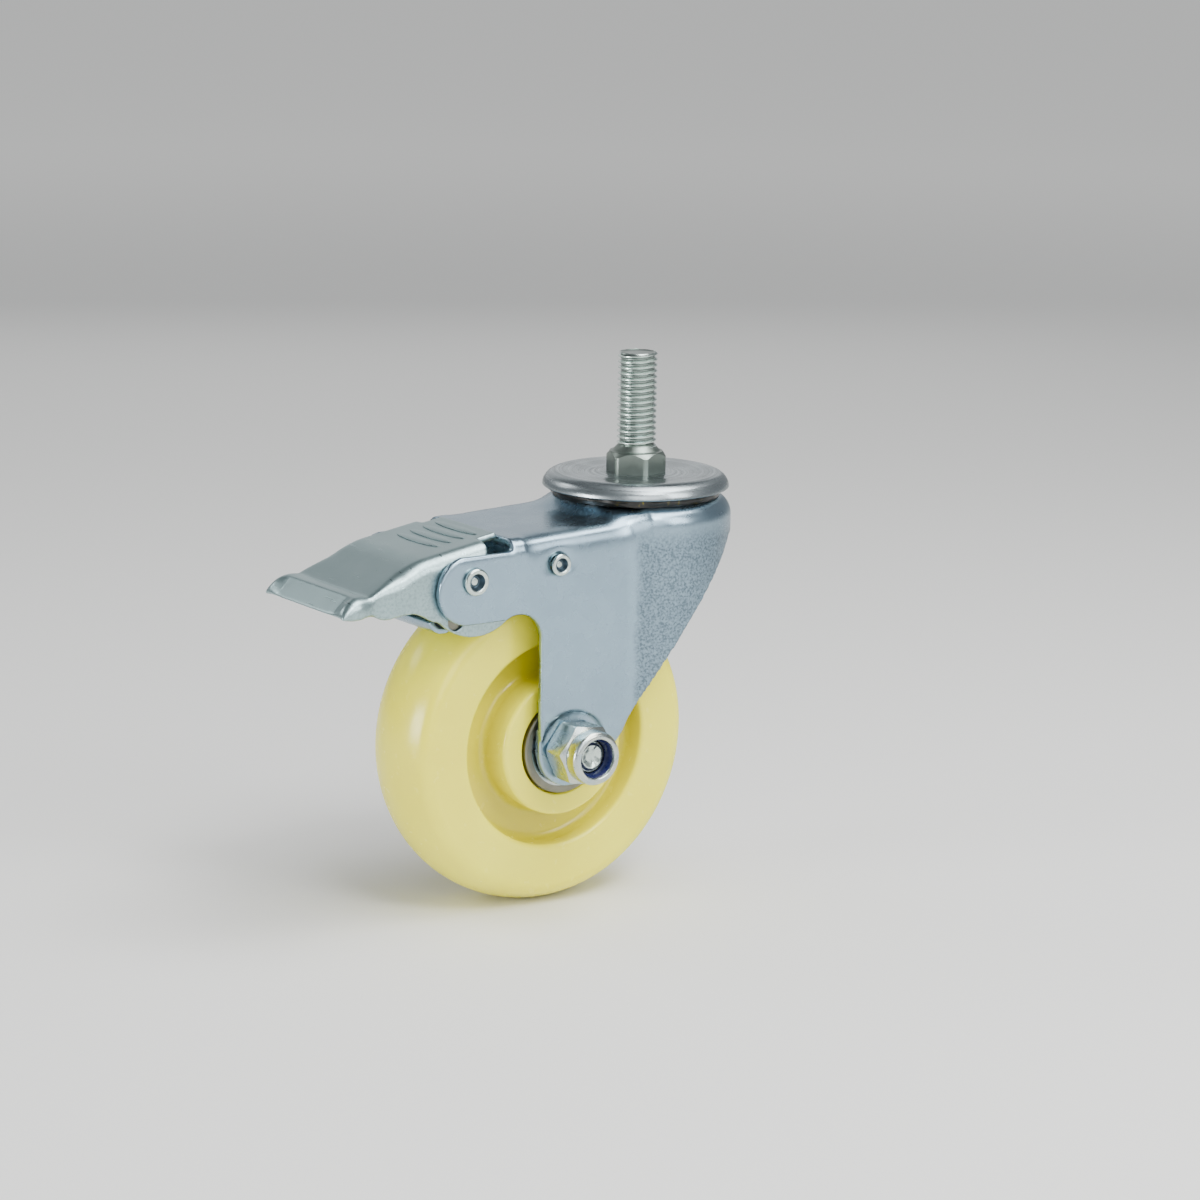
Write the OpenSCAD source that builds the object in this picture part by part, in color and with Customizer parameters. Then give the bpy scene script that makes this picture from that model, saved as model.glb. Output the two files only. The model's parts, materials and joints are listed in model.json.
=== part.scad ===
// Braked swivel castor with a threaded stem, a nylon wheel and a foot pedal.
// Frame: origin on the swivel axis, at the top face of the hexagon collar.
// +Z runs up along the stem, the wheel trails and the pedal points towards -X, the axle lies along Y.

/* [Stem] */
// Outer diameter of the stem's thread
stem_d = 12; // [10:0.5:14]
// Length of the stem above the collar
stem_len = 30; // [20:1:60]
// Width of the hexagon collar across its flats
collar_af = 16; // [15:0.5:19]
// Height of the hexagon collar
collar_h = 6.3; // [5:0.1:9]
// Turn of the hexagon about the swivel axis
collar_turn = 16; // [0:1:59]
// Diameter of the swivel pin below the collar
king_d = 14; // [12:0.5:15]

/* [Swivel head] */
// Outer diameter of the top cap
cap_d = 56.6; // [54:0.2:57.4]
// Sheet thickness of the top cap
cap_sheet = 2.5; // [2:0.1:3]
// Radius of the cap's rolled rim, outside
cap_rim_r = 4.6; // [4.2:0.1:5]
// Rise of the cap's rim above its dished middle
cap_dish = 0.3; // [0:0.1:0.6]
// Depth of the cap from its middle to the edge of its rim
cap_depth = 4.3; // [4:0.1:4.6]
// Diameter of the upper swivel balls
upper_ball_d = 6.5; // [6.2:0.1:6.8]
// Diameter of the lower swivel balls
lower_ball_d = 5.5; // [5:0.1:6]
// Ring diameter of the upper balls
upper_ring_d = 40; // [38:0.5:42]
// Ring diameter of the lower balls
lower_ring_d = 28; // [27:0.5:29]
// Depth of each race groove
race_depth = 0.6; // [0.4:0.1:0.8]
// Outer diameter of the lower race cup
race_cup_d = 39; // [38:0.5:40]
// Number of lock notches round the race cup
lock_notches = 24; // [12:12:36]

/* [Fork] */
// Sheet thickness of the fork
fork_sheet = 2.5; // [2:0.1:3]
// Clear width between the fork legs
fork_gap = 42; // [41:0.5:46]
// Outer diameter of the fork crown
crown_d = 58; // [57.5:0.5:62]
// Radius of the crown's shoulder
crown_shoulder_r = 5.8; // [4.5:0.1:6.2]
// Height that the crown's rim stands above the ball floor
crown_rim_h = 1.2; // [0.8:0.1:1.8]
// Downward slope of the roof behind the crown, in degrees
roof_slope = 2.7; // [1:0.1:4]
// Fall of the roof behind the crown from the crown's ball floor
roof_fall = 2.4; // [2:0.1:3]
// Outer radius of the bend between roof and legs
roof_bend_r = 4.4; // [3.5:0.1:6]
// Distance of the roof's rear end from the swivel axis
roof_reach = 59.5; // [56:0.5:62]
// Radius of the blend between each leg and the round skirt
skirt_blend_r = 9; // [5:0.5:12]
// Depth of the skirt in front, below the crown's ball floor
skirt_depth = 10.5; // [8:0.5:14]
// Radius of each leg's round lower end
leg_end_r = 11.2; // [10:0.1:12]
// Hollow of the leg's front edge from a straight line
leg_front_hollow = 2.5; // [1:0.1:4]
// Inward step of the axle pads
pad_step = 1.3; // [1:0.1:1.6]
// Radius of the axle pads
pad_r = 11.8; // [11:0.1:13]
// Radius of each horn's round end
horn_r = 10.2; // [9:0.1:11]
// Radius of the arch between horn and leg
arch_r = 8.2; // [6:0.1:9]

/* [Wheel] */
// Wheel diameter
wheel_d = 100; // [97:0.5:103]
// Width over the wheel's side faces
wheel_w = 29; // [26:0.5:32]
// Section radius of the crowned tread
tread_crown_r = 25; // [22:0.5:40]
// Radius between tread and side face
tread_shoulder_r = 5; // [3:0.5:7]
// Outer radius of the side recess
recess_r = 31; // [28:0.5:34]
// Thickness of the wheel's web
web_w = 13; // [10:0.5:18]
// Hub diameter
hub_d = 42; // [38:0.5:46]
// Hub length
hub_w = 36; // [34:0.5:37]
// Distance of the axle behind the swivel axis
trail = 37.6; // [36:0.2:40]
// Drop from the collar's top to the top of the tread
tread_drop = 33.2; // [33:0.1:35]

/* [Axle and bearings] */
// Axle bolt diameter
axle_d = 10; // [8:0.5:10]
// Bearing bore, and outer diameter of the axle sleeve
bearing_id = 12; // [12:0.1:13]
// Bearing outer diameter
bearing_od = 28; // [27:0.5:30]
// Bearing width
bearing_w = 8; // [7:0.5:9]
// Height that each bearing stands out of the hub
bearing_proud = 1; // [0.5:0.1:1.2]
// Diameter of the bearing balls
bearing_ball_d = 4.76; // [4:0.01:5]
// Width of bolt head and nut across flats
nut_af = 17; // [16:0.5:19]
// Height of the nut's hexagon
nut_hex_h = 9; // [7:0.5:10]
// Height of the nut's round collar
nut_collar_h = 5; // [4:0.5:6]
// Outer diameter of the nut's round collar
nut_collar_d = 16.2; // [15:0.1:16.4]

/* [Pedal] */
// Sheet thickness of the pedal
pedal_sheet = 2; // [1.5:0.1:2.4]
// Pivot distance behind the swivel axis
pedal_pivot_x = 72.8; // [71:0.2:75]
// Pivot depth below the collar's top
pedal_pivot_z = 28.6; // [27:0.2:30]
// Diameter of the pedal's pivot rivet
pedal_rivet_d = 6; // [5:0.1:6.5]
// Distance from the pivot to the pedal's toe
pedal_reach = 43.5; // [40:0.5:50]
// Slope of the foot plate, in degrees
plate_slope = 9.8; // [8:0.1:12]
// Slope of the plate below its knee, in degrees
ramp_slope = 25.8; // [22:0.1:30]
// Radius of the rolled toe lip
lip_r = 8; // [7:0.1:9]
// Bend radius between plate and cheeks, outside
cheek_bend_r = 4.3; // [3.5:0.1:5]
// Radius of the lobe under the pivot
lobe_r = 16.9; // [16:0.1:17.5]
// Diameter of the cam pin between the cheeks
cam_d = 5.1; // [4.6:0.1:5.4]

/* [Brake lever] */
// Sheet thickness of the brake lever
lever_sheet = 2; // [1.8:0.1:2.2]
// Width of the brake lever's blade
lever_w = 28; // [24:0.5:34]
// Pivot distance behind the swivel axis
lever_pivot_x = 43.4; // [42:0.2:45]
// Pivot depth below the collar's top
lever_pivot_z = 26.6; // [26:0.1:27]
// Diameter of the lever's rivet
lever_rivet_d = 4.8; // [4:0.1:5]
// Wire diameter of the return spring
spring_wire_d = 1.2; // [1:0.1:1.4]

/* [Clearances] */
// Gap between a pin and its running bore
pin_clear = 0.06; // [0.03:0.01:0.1]
// Gap between a ball and its groove
ball_clear = 0.05; // [0.03:0.01:0.1]
// Gap in holes and seats that don't move
seat_clear = 0.03; // [0.02:0.01:0.1]
// Side gap between moving sheets
side_clear = 0.3; // [0.2:0.05:0.5]

/* [Hidden] */
$fn = 64;
far_off = 200;

// Levels of the swivel head, from the collar's top downwards
cap_top = -collar_h;
cap_flat_r = 12;
cap_low = cap_top - cap_sheet;
upper_ring_r = upper_ring_d / 2;
lower_ring_r = lower_ring_d / 2;
upper_ball_r = upper_ball_d / 2;
lower_ball_r = lower_ball_d / 2;
upper_groove_r = upper_ball_r + ball_clear;
lower_groove_r = lower_ball_r + ball_clear;
ball_spread = 1.08;
cap_cone_r = cap_d / 2 - cap_rim_r;
cap_cone_rise = cap_dish * (upper_ring_r - cap_flat_r) / (cap_cone_r - cap_flat_r);
upper_ball_z = cap_low + cap_cone_rise - upper_ball_r + race_depth;
floor_top = upper_ball_z - upper_ball_r + race_depth;
floor_low = floor_top - fork_sheet;
lower_ball_z = floor_low - lower_ball_r + race_depth;
cup_top = lower_ball_z - lower_ball_r + race_depth;
cup_sheet = fork_sheet;
cup_low = cup_top - cup_sheet;
cup_lip_gap = 0.7;
sleeve_wall = 2;
sleeve_r = king_d / 2 + sleeve_wall;
sleeve_clear = 0.6;
king_head_h = 2.6;
king_head_r = king_d / 2 + 3.5;
notch_w = 2.6;
notch_depth = 2;
notch_len = 4;

// Fork levels and widths
crown_r = crown_d / 2;
crown_top = floor_top + crown_rim_h;
crown_seat_r = 23.5;
crown_rim_round = 1.2;
leg_in = fork_gap / 2;
leg_out = leg_in + fork_sheet;
roof_pivot_x = -25;
roof_pivot_z = floor_top - roof_fall;
axle_x = -trail;
axle_z = -tread_drop - wheel_d / 2;
pad_out = leg_out - pad_step;
pad_in = leg_in - pad_step;
skirt_low = floor_top - skirt_depth;
skirt_front_x = 20;
leg_rear_x = axle_x - leg_end_r - 0.4;
leg_front_reach = 17.5;
leg_front_rise = 2.9;
leg_front_low = [axle_x + leg_front_reach, axle_z + leg_front_rise];
horn_x = -pedal_pivot_x - 1.8;
horn_z = -pedal_pivot_z - 2.6;
horn_top = horn_z + horn_r - 0.3;
arch_x = leg_rear_x - arch_r;
arch_z = horn_z - 17.1;
skirt_end = leg_front_low.y + 2;
blend_bite = 0.02;
leg_end = axle_z - leg_end_r - 5;

// Wheel, axle and bearing sizes
tread_r = wheel_d / 2;
face_y = wheel_w / 2;
hub_y = hub_w / 2;
bearing_out = hub_y + bearing_proud;
bearing_in = bearing_out - bearing_w;
bearing_mid = (bearing_out + bearing_in) / 2;
bearing_ring_r = (bearing_od + bearing_id) / 4 + 0.1;
bearing_ball_r = bearing_ball_d / 2;
inner_ring_r = bearing_ring_r - bearing_ball_r + 0.6;
outer_ring_r = bearing_ring_r + bearing_ball_r - 0.6;
bearing_ball_count = 8;
shield_t = 0.4;
shield_inset = 0.3;
ring_chamfer = 0.6;
bore_mouth = 0.7;
axle_r = axle_d / 2;
nut_end = pad_out + nut_hex_h + nut_collar_h;
bolt_head_h = 6.4;
bolt_end_inset = 3.2;
insert_t = 1.5;
insert_depth = 4.2;
insert_r = axle_r + 2.3;
insert_lip = 0.8;
nut_turn = 7;

// Pedal: pivot, plate line and cheeks
pivot_x = -pedal_pivot_x;
pivot_z = -pedal_pivot_z;
cheek_out = leg_in - side_clear;
cheek_in = cheek_out - pedal_sheet;
toe_x = pivot_x - pedal_reach;
tongue_gap = 0.5;
tongue_x = -roof_reach - tongue_gap;
tongue_z = pivot_z + 11.7;
tongue_w = 29.4;
cheek_end_x = pivot_x + 6.2;
knee_x = pivot_x - 16.2;
knee_z = tongue_z - (tongue_x - knee_x) * tan(plate_slope);
lip_turn = 70;
lip_step = 8;
crest_x = toe_x + lip_r * sin(lip_turn);
valley_turn = 19;
valley_x = crest_x + lip_r * sin(valley_turn);
valley_z = knee_z - (knee_x - valley_x) * tan(ramp_slope);
crest_z = valley_z + lip_r * (1 - cos(valley_turn));
toe_w = cheek_out + 1.6;
lobe_x = pivot_x + 2.5;
lobe_z = pivot_z - 0.2;
cam_x = pivot_x - 4.7;
cam_z = pivot_z - 11.7;
cam_r = cam_d / 2;
cam_inset = 1;

// Brake lever: eye on its rivet, blade round the tread, tongue under the race cup
lever_x = -lever_pivot_x;
lever_z = -lever_pivot_z;
lever_eye_r = lever_rivet_d / 2 + lever_sheet;
cam_gap = 0.5;
blade_out = norm([cam_x - axle_x, cam_z - axle_z]) - cam_r - cam_gap;
blade_in = blade_out - lever_sheet;
blade_from = atan2(lever_z - axle_z, lever_x - axle_x);
blade_to = atan2(cam_z - axle_z, cam_x - axle_x) + 0.5;
hook_r = cam_r + cam_gap;
tongue_clear = 0.3;
tooth_h = 2.2;
tooth_w = 1.7;
lock_r = race_cup_d / 2 - 1.8;
lock_plate_top = cup_low - tongue_clear - tooth_h;
lock_plate_x = -(lock_r - tooth_w) * cos(360 / lock_notches) + 0.4;
lock_plate_w = 24;
spring_turns = 3;
spring_r = lever_rivet_d / 2 + 1.2;
spring_pitch = spring_wire_d + 0.15;
spring_leg = 9;
spring_arm = 10;
spring_bend = lever_eye_r + spring_wire_d;

// Curves that several pieces share
// Eased height between the points of a short table of [place, height] pairs
function eased(x, table, i = 0) =
    i >= len(table) - 2 || x < table[i + 1][0]
    ? let (u = (x - table[i][0]) / (table[i + 1][0] - table[i][0]))
      table[i][1] + (table[i + 1][1] - table[i][1]) * (1 - cos(180 * min(max(u, 0), 1))) / 2
    : eased(x, table, i + 1);

// Smaller of two heights with a soft turn between them
function soft_min(a, b, soft) =
    let (h = max(soft - abs(a - b), 0) / soft)
    min(a, b) - h * h * soft / 4;

// Faces of a tube skinned over rings of n points, closed by its first and last ring
function skin_faces(rings, n) = concat(
    [for (i = [0:rings - 2], j = [0:n - 1])
        each let (a = i * n + j, b = i * n + (j + 1) % n) [[a, b, a + n], [b, b + n, a + n]]]
);

// Area outside a corner's round, between two directions about the round's centre
module corner_cut(centre, from, to, r) {
    reach = r * 4;
    mid = (from + to) / 2;
    translate(centre)
        difference() {
            polygon([
                [0, 0],
                reach * [cos(from), sin(from)],
                2 * reach * [cos(mid), sin(mid)],
                reach * [cos(to), sin(to)]
            ]);
            circle(r);
        }
}

// Rectangle from one corner to the other
module span(a, b) {
    translate([min(a.x, b.x), min(a.y, b.y)])
        square([abs(b.x - a.x), abs(b.y - a.y)]);
}

// Turns a profile of [radius, height] about the axle, with its height along +Y
module about_axle() {
    translate([axle_x, 0, axle_z])
        rotate([-90, 0, 0])
            rotate_extrude()
                children();
}

// Stretch of round bar along Y at a place in the side view
module bar(x, z, r, from, to) {
    translate([x, from, z])
        rotate([-90, 0, 0])
            cylinder(h = to - from, r = r);
}

// Plate cut to a side-view outline, centred on the wheel's plane
module side_plate(width) {
    rotate([90, 0, 0])
        linear_extrude(width, center = true)
            children();
}

// Ring of balls about the Z axis
module ball_ring(count, ring_r, r) {
    for (i = [0:count - 1])
        rotate(i * 360 / count)
            translate([ring_r, 0, 0])
                sphere(r);
}

// Threaded stem, hexagon collar and swivel pin, turned and riveted as one piece
module threaded_stem() {
    tip = 0.5;
    stem_r = stem_d / 2;
    flat_r = collar_af / 2 * 0.95;
    corner_r = collar_af / sqrt(3);
    cut_r = corner_r + 1;
    chamfer_h = (cut_r - flat_r) * tan(30);
    color("lightsteelblue") {
        rotate_extrude()
            polygon([
                [0, -collar_h], [stem_r, -collar_h], [stem_r, stem_len - tip],
                [stem_r - tip, stem_len], [0, stem_len]
            ]);
        intersection() {
            translate([0, 0, -collar_h])
                rotate(collar_turn)
                    cylinder(h = collar_h, r = corner_r, $fn = 6);
            rotate_extrude()
                polygon([
                    [0, -collar_h], [flat_r, -collar_h], [cut_r, chamfer_h - collar_h],
                    [cut_r, -chamfer_h], [flat_r, 0], [0, 0]
                ]);
        }
        translate([0, 0, cup_low])
            cylinder(h = -collar_h - cup_low, r = king_d / 2);
        rotate_extrude()
            polygon([
                [0, cup_low - king_head_h], [king_head_r - 3, cup_low - king_head_h],
                [king_head_r, cup_low - king_head_h / 2], [king_head_r, cup_low], [0, cup_low]
            ]);
    }
}

// Half section of the cap's outer skin, set in by a depth for its inside
module cap_section(inset) {
    rim_r = cap_rim_r - inset;
    low = cap_top - cap_depth;
    rim_top = cap_top + cap_dish;
    rim_z = rim_top - cap_rim_r;
    intersection() {
        span([0, rim_top - inset], [far_off, low]);
        union() {
            polygon([
                [0, low - cap_depth], [cap_cone_r, low - cap_depth],
                [cap_cone_r, rim_top - inset], [cap_flat_r, cap_top - inset],
                [0, cap_top - inset]
            ]);
            translate([cap_cone_r, rim_z])
                circle(rim_r);
            span([0, rim_z], [cap_cone_r + rim_r, low - cap_depth]);
        }
    }
}

// Pressed cap over the upper balls
module swivel_cap() {
    color("silver")
        rotate_extrude()
            difference() {
                cap_section(0);
                cap_section(cap_sheet);
                span([0, 0], [king_d / 2 + seat_clear, -far_off]);
                translate([upper_ring_r, upper_ball_z])
                    circle(upper_groove_r);
            }
}

// Distance sleeve on the swivel pin, between cap and race cup
module swivel_sleeve() {
    color("slategray")
        rotate_extrude()
            span([king_d / 2 + seat_clear, cap_low], [sleeve_r, cup_top]);
}

// Balls between cap and fork crown
module upper_balls() {
    count = floor(PI * upper_ring_d / (upper_ball_d * ball_spread));
    color("gainsboro")
        translate([0, 0, upper_ball_z])
            ball_ring(count, upper_ring_r, upper_ball_r);
}

// Balls between fork crown and race cup
module lower_balls() {
    count = floor(PI * lower_ring_d / (lower_ball_d * ball_spread));
    color("gainsboro")
        translate([0, 0, lower_ball_z])
            ball_ring(count, lower_ring_r, lower_ball_r);
}

// Race cup riveted to the swivel pin, with lock notches in its underside
module lower_race_cup() {
    cup_r = race_cup_d / 2;
    lip_r = lower_ring_r + lower_groove_r + side_clear;
    lip_top = floor_low - cup_lip_gap;
    lip_round = 1;
    color("darkgray")
        difference() {
            rotate_extrude()
                difference() {
                    union() {
                        span([king_d / 2 + seat_clear, cup_low], [cup_r, cup_top]);
                        span([lip_r, cup_top], [cup_r, lip_top]);
                    }
                    translate([lower_ring_r, lower_ball_z])
                        circle(lower_groove_r);
                    corner_cut([cup_r - lip_round, lip_top - lip_round], 0, 90, lip_round);
                }
            for (i = [0:lock_notches - 1])
                rotate(i * 360 / lock_notches)
                    translate([cup_r - notch_len, -notch_w / 2, cup_low - 1])
                        cube([notch_len + 1, notch_w, notch_depth + 1]);
        }
}

// Half section of the crown: ball floor, rim and shoulder over the round skirt
module crown_section() {
    shoulder = [crown_r - crown_shoulder_r, crown_top - crown_shoulder_r];
    difference() {
        union() {
            span([0, shoulder.y], [crown_r, skirt_end]);
            span([0, crown_top], [shoulder.x, skirt_end]);
            translate(shoulder)
                circle(crown_shoulder_r);
        }
        span([0, floor_top], [crown_seat_r, 0]);
        corner_cut([crown_seat_r + crown_rim_round, crown_top - crown_rim_round], 90, 180, crown_rim_round);
        translate([upper_ring_r, upper_ball_z])
            circle(upper_groove_r);
    }
}

// Half section of the hollow under the crown
module crown_hollow_section() {
    hollow_r = crown_r - fork_sheet;
    round_r = max(crown_shoulder_r - fork_sheet, 0.5);
    span([0, floor_low - round_r], [hollow_r, skirt_end - 1]);
    span([0, floor_low], [hollow_r - round_r, skirt_end - 1]);
    translate([hollow_r - round_r, floor_low - round_r])
        circle(round_r);
    translate([lower_ring_r, lower_ball_z])
        circle(lower_groove_r);
}

// Rounded channel behind the crown, along the sloping roof
module roof_channel(half_w, drop, bend_r) {
    translate([roof_pivot_x, 0, roof_pivot_z])
        rotate([0, -roof_slope, 0])
            translate([-far_off / 2, 0, -drop])
                rotate([90, 0, 90])
                    linear_extrude(far_off / 2 - roof_pivot_x) {
                        span([-half_w, -bend_r], [half_w, -far_off]);
                        span([bend_r - half_w, 0], [half_w - bend_r, -far_off]);
                        for (s = [-1, 1])
                            translate([s * (half_w - bend_r), -bend_r])
                                circle(bend_r);
                    }
}

// Blend in plan between a flat leg at half_w and the skirt's cylinder of radius r
module skirt_blend(half_w, r, blend_r) {
    centre_y = half_w + blend_r;
    centre_x = -sqrt(pow(r + blend_r, 2) - pow(centre_y, 2));
    touch = [centre_x, centre_y] * r / (r + blend_r);
    difference() {
        polygon([[centre_x, half_w], [centre_x, half_w - 1], [touch.x, half_w - 1], touch]);
        translate([centre_x, centre_y])
            circle(blend_r);
    }
}

// Both blends as prisms whose tops slope outwards under the roof's bend
module skirt_blends() {
    top = roof_pivot_z - roof_bend_r + 2;
    for (s = [0, 1])
        mirror([0, s, 0])
            intersection() {
                translate([0, 0, leg_end])
                    linear_extrude(top - leg_end)
                        skirt_blend(leg_out - blend_bite, crown_r - blend_bite, skirt_blend_r);
                translate([0, leg_out, top - 0.5])
                    rotate([-45, 0, 0])
                        translate([-far_off / 2, -far_off / 2, -far_off])
                            cube([far_off, far_off, far_off]);
            }
}

// Side view of the fork: crown, legs with round ends, rear horns and the arch behind each leg
module fork_outline() {
    front_top = [skirt_front_x, skirt_low];
    chord = front_top - leg_front_low;
    chord_len = norm(chord);
    hollow_r = chord_len * chord_len / (8 * leg_front_hollow) + leg_front_hollow / 2;
    hollow_side = [chord.y, -chord.x] / chord_len;
    hollow_centre = (front_top + leg_front_low) / 2 + hollow_side * (hollow_r - leg_front_hollow);
    touch_r = leg_end_r - blend_bite;
    edge_turn = atan2(leg_front_low.y - axle_z, leg_front_low.x - axle_x)
        - acos(touch_r / norm(leg_front_low - [axle_x, axle_z]));
    end_touch = [axle_x, axle_z] + touch_r * [cos(edge_turn), sin(edge_turn)];
    difference() {
        union() {
            polygon([
                [crown_r + 5, 0], [-roof_reach, 0], [-roof_reach, horn_top], [horn_x, horn_top],
                [horn_x, horn_z - horn_r], [arch_x, horn_z - horn_r], [arch_x, arch_z],
                [leg_rear_x, arch_z], [leg_rear_x, axle_z + leg_end_r], [axle_x - touch_r, axle_z],
                [axle_x, axle_z],
                end_touch, leg_front_low, front_top, [crown_r + 5, skirt_low]
            ]);
            translate([axle_x, axle_z])
                circle(leg_end_r);
            intersection() {
                translate([horn_x, horn_z])
                    circle(horn_r);
                span([horn_x - horn_r, horn_z - horn_r], [horn_x + horn_r, horn_top]);
            }
        }
        intersection() {
            translate(hollow_centre)
                circle(hollow_r, $fn = 256);
            span([-far_off, skirt_low], [far_off, -far_off]);
        }
        translate([arch_x, arch_z])
            circle(arch_r);
    }
}

// Solid of the fork's outer form, trimmed to its side view
module fork_form() {
    intersection() {
        union() {
            rotate_extrude()
                crown_section();
            roof_channel(leg_out, 0, roof_bend_r);
            skirt_blends();
        }
        side_plate(far_off)
            fork_outline();
    }
}

// Outer form hollowed to the thickness of the sheet
module fork_shell() {
    difference() {
        difference() {
            fork_form();
            rotate_extrude()
                crown_hollow_section();
        }
        roof_channel(leg_in, fork_sheet, roof_bend_r - fork_sheet);
    }
}

// Axle pads pressed inwards from the legs
module axle_pads() {
    intersection() {
        for (s = [0, 1])
            mirror([0, s, 0])
                bar(axle_x, axle_z, pad_r + pad_step, pad_in, leg_in + 1);
        side_plate(far_off)
            fork_outline();
    }
}

// Room between the horns for the pedal's cheeks
module horn_room() {
    half_w = leg_in - blend_bite;
    translate([-far_off - roof_reach - blend_bite, -half_w, horn_z])
        cube([far_off, 2 * half_w, -horn_z]);
}

// Fork pressed from one sheet
module fork() {
    color("silver")
        difference() {
            union() {
                fork_shell();
                axle_pads();
            }
            for (s = [0, 1])
                mirror([0, s, 0])
                    bar(axle_x, axle_z, pad_r, pad_out, leg_out + 1);
            bar(axle_x, axle_z, axle_r + seat_clear, -leg_out - 1, leg_out + 1);
            bar(pivot_x, pivot_z, pedal_rivet_d / 2 + seat_clear, -leg_out - 1, leg_out + 1);
            bar(lever_x, lever_z, lever_rivet_d / 2 + seat_clear, -leg_out - 1, leg_out + 1);
            translate([0, 0, skirt_end])
                cylinder(h = -skirt_end, r = sleeve_r + sleeve_clear);
            horn_room();
        }
}

// Wheel moulded in one piece, with a recess on each side and a seat for each bearing
module wheel() {
    hub_r = hub_d / 2;
    recess_round = 2.5;
    edge_round = 1.2;
    web_y = web_w / 2;
    seat_r = bearing_od / 2 + seat_clear;
    bore_r = bearing_od / 2 - 4;
    crown_centre = tread_r - tread_crown_r;
    shoulder_y = face_y - tread_shoulder_r;
    shoulder_turn = asin(shoulder_y / (tread_crown_r - tread_shoulder_r));
    shoulder_r = crown_centre + (tread_crown_r - tread_shoulder_r) * cos(shoulder_turn);
    color("lemonchiffon")
        about_axle()
            difference() {
                union() {
                    intersection() {
                        span([hub_r, -face_y], [tread_r, face_y]);
                        translate([crown_centre, 0])
                            circle(tread_crown_r);
                    }
                    span([bore_r, -hub_y], [hub_r, hub_y]);
                    span([hub_r - 1, -web_y], [recess_r, web_y]);
                }
                for (s = [0, 1])
                    mirror([0, s]) {
                        corner_cut([shoulder_r, shoulder_y], shoulder_turn, 90, tread_shoulder_r);
                        span([hub_r, web_y + recess_round], [recess_r, hub_y + 1]);
                        span([hub_r + recess_round, web_y], [recess_r - recess_round, hub_y]);
                        for (r = [hub_r + recess_round, recess_r - recess_round])
                            translate([r, web_y + recess_round])
                                circle(recess_round);
                        corner_cut([recess_r + edge_round, face_y - edge_round], 90, 180, edge_round);
                        corner_cut([hub_r - edge_round, hub_y - edge_round], 0, 90, edge_round);
                        span([0, bearing_in], [seat_r, hub_y + 1]);
                        polygon([
                            [seat_r - 1, hub_y - bore_mouth - 1], [seat_r, hub_y - bore_mouth],
                            [seat_r + bore_mouth, hub_y], [seat_r + bore_mouth, hub_y + 1],
                            [seat_r - 1, hub_y + 1]
                        ]);
                    }
            }
}

// Bearing ring between two radii, with chamfered edges and its ball groove; side is -1 near, 1 far
module bearing_ring(side, r_in, r_out) {
    about_axle()
        difference() {
            span([r_in, side * bearing_in], [r_out, side * bearing_out]);
            translate([bearing_ring_r, side * bearing_mid])
                circle(bearing_ball_r + ball_clear);
            for (y = [bearing_in, bearing_out], r = [r_in, r_out])
                if (r == bearing_id / 2 + seat_clear || r == bearing_od / 2)
                    translate([r, side * y])
                        rotate(45)
                            square(ring_chamfer, center = true);
        }
}

module near_inner_ring() {
    color("gainsboro")
        bearing_ring(-1, bearing_id / 2 + seat_clear, inner_ring_r);
}

module far_inner_ring() {
    color("gainsboro")
        bearing_ring(1, bearing_id / 2 + seat_clear, inner_ring_r);
}

module near_outer_ring() {
    color("gainsboro")
        bearing_ring(-1, outer_ring_r, bearing_od / 2);
}

module far_outer_ring() {
    color("gainsboro")
        bearing_ring(1, outer_ring_r, bearing_od / 2);
}

// Balls of one bearing
module bearing_balls(side) {
    translate([axle_x, side * bearing_mid, axle_z])
        rotate([-90, 0, 0])
            ball_ring(bearing_ball_count, bearing_ring_r, bearing_ball_r);
}

module near_bearing_balls() {
    color("white")
        bearing_balls(-1);
}

module far_bearing_balls() {
    color("white")
        bearing_balls(1);
}

// Thin shield pressed into an outer ring
module dust_shield(side) {
    outside = bearing_out - shield_inset;
    inside = outside - shield_t;
    about_axle()
        span([inner_ring_r + side_clear, side * outside], [outer_ring_r - seat_clear, side * inside]);
}

module near_dust_shield() {
    color("darkkhaki")
        dust_shield(-1);
}

module far_dust_shield() {
    color("darkkhaki")
        dust_shield(1);
}

// Spacer between an inner ring and its axle pad
module axle_spacer(side) {
    about_axle()
        span([bearing_id / 2 + seat_clear, side * bearing_out], [inner_ring_r, side * pad_in]);
}

module near_spacer() {
    color("darkgray")
        axle_spacer(-1);
}

module far_spacer() {
    color("darkgray")
        axle_spacer(1);
}

// Sleeve on the axle bolt, between the axle pads
module axle_sleeve() {
    color("slategray")
        about_axle()
            span([axle_r + seat_clear, -pad_in], [bearing_id / 2, pad_in]);
}

// Hexagon with chamfered corners about the axle, from one place to another along Y
module axle_hexagon(from, to) {
    corner_r = nut_af / sqrt(3);
    flat_r = nut_af / 2 * 0.95;
    cut_r = corner_r + 1;
    chamfer = (cut_r - flat_r) * tan(30);
    intersection() {
        translate([axle_x, from, axle_z])
            rotate([-90, 0, 0])
                rotate(nut_turn)
                    cylinder(h = to - from, r = corner_r, $fn = 6);
        about_axle()
            polygon([
                [0, from], [flat_r, from], [cut_r, from + chamfer],
                [cut_r, to - chamfer], [flat_r, to], [0, to]
            ]);
    }
}

// Axle bolt with its head on the far leg
module axle_bolt() {
    tip = 1.2;
    end = bolt_end_inset - nut_end;
    color("silver") {
        axle_hexagon(pad_out, pad_out + bolt_head_h);
        about_axle()
            polygon([
                [0, end], [axle_r - tip, end], [axle_r, end + tip], [axle_r, pad_out], [0, pad_out]
            ]);
    }
}

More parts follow.
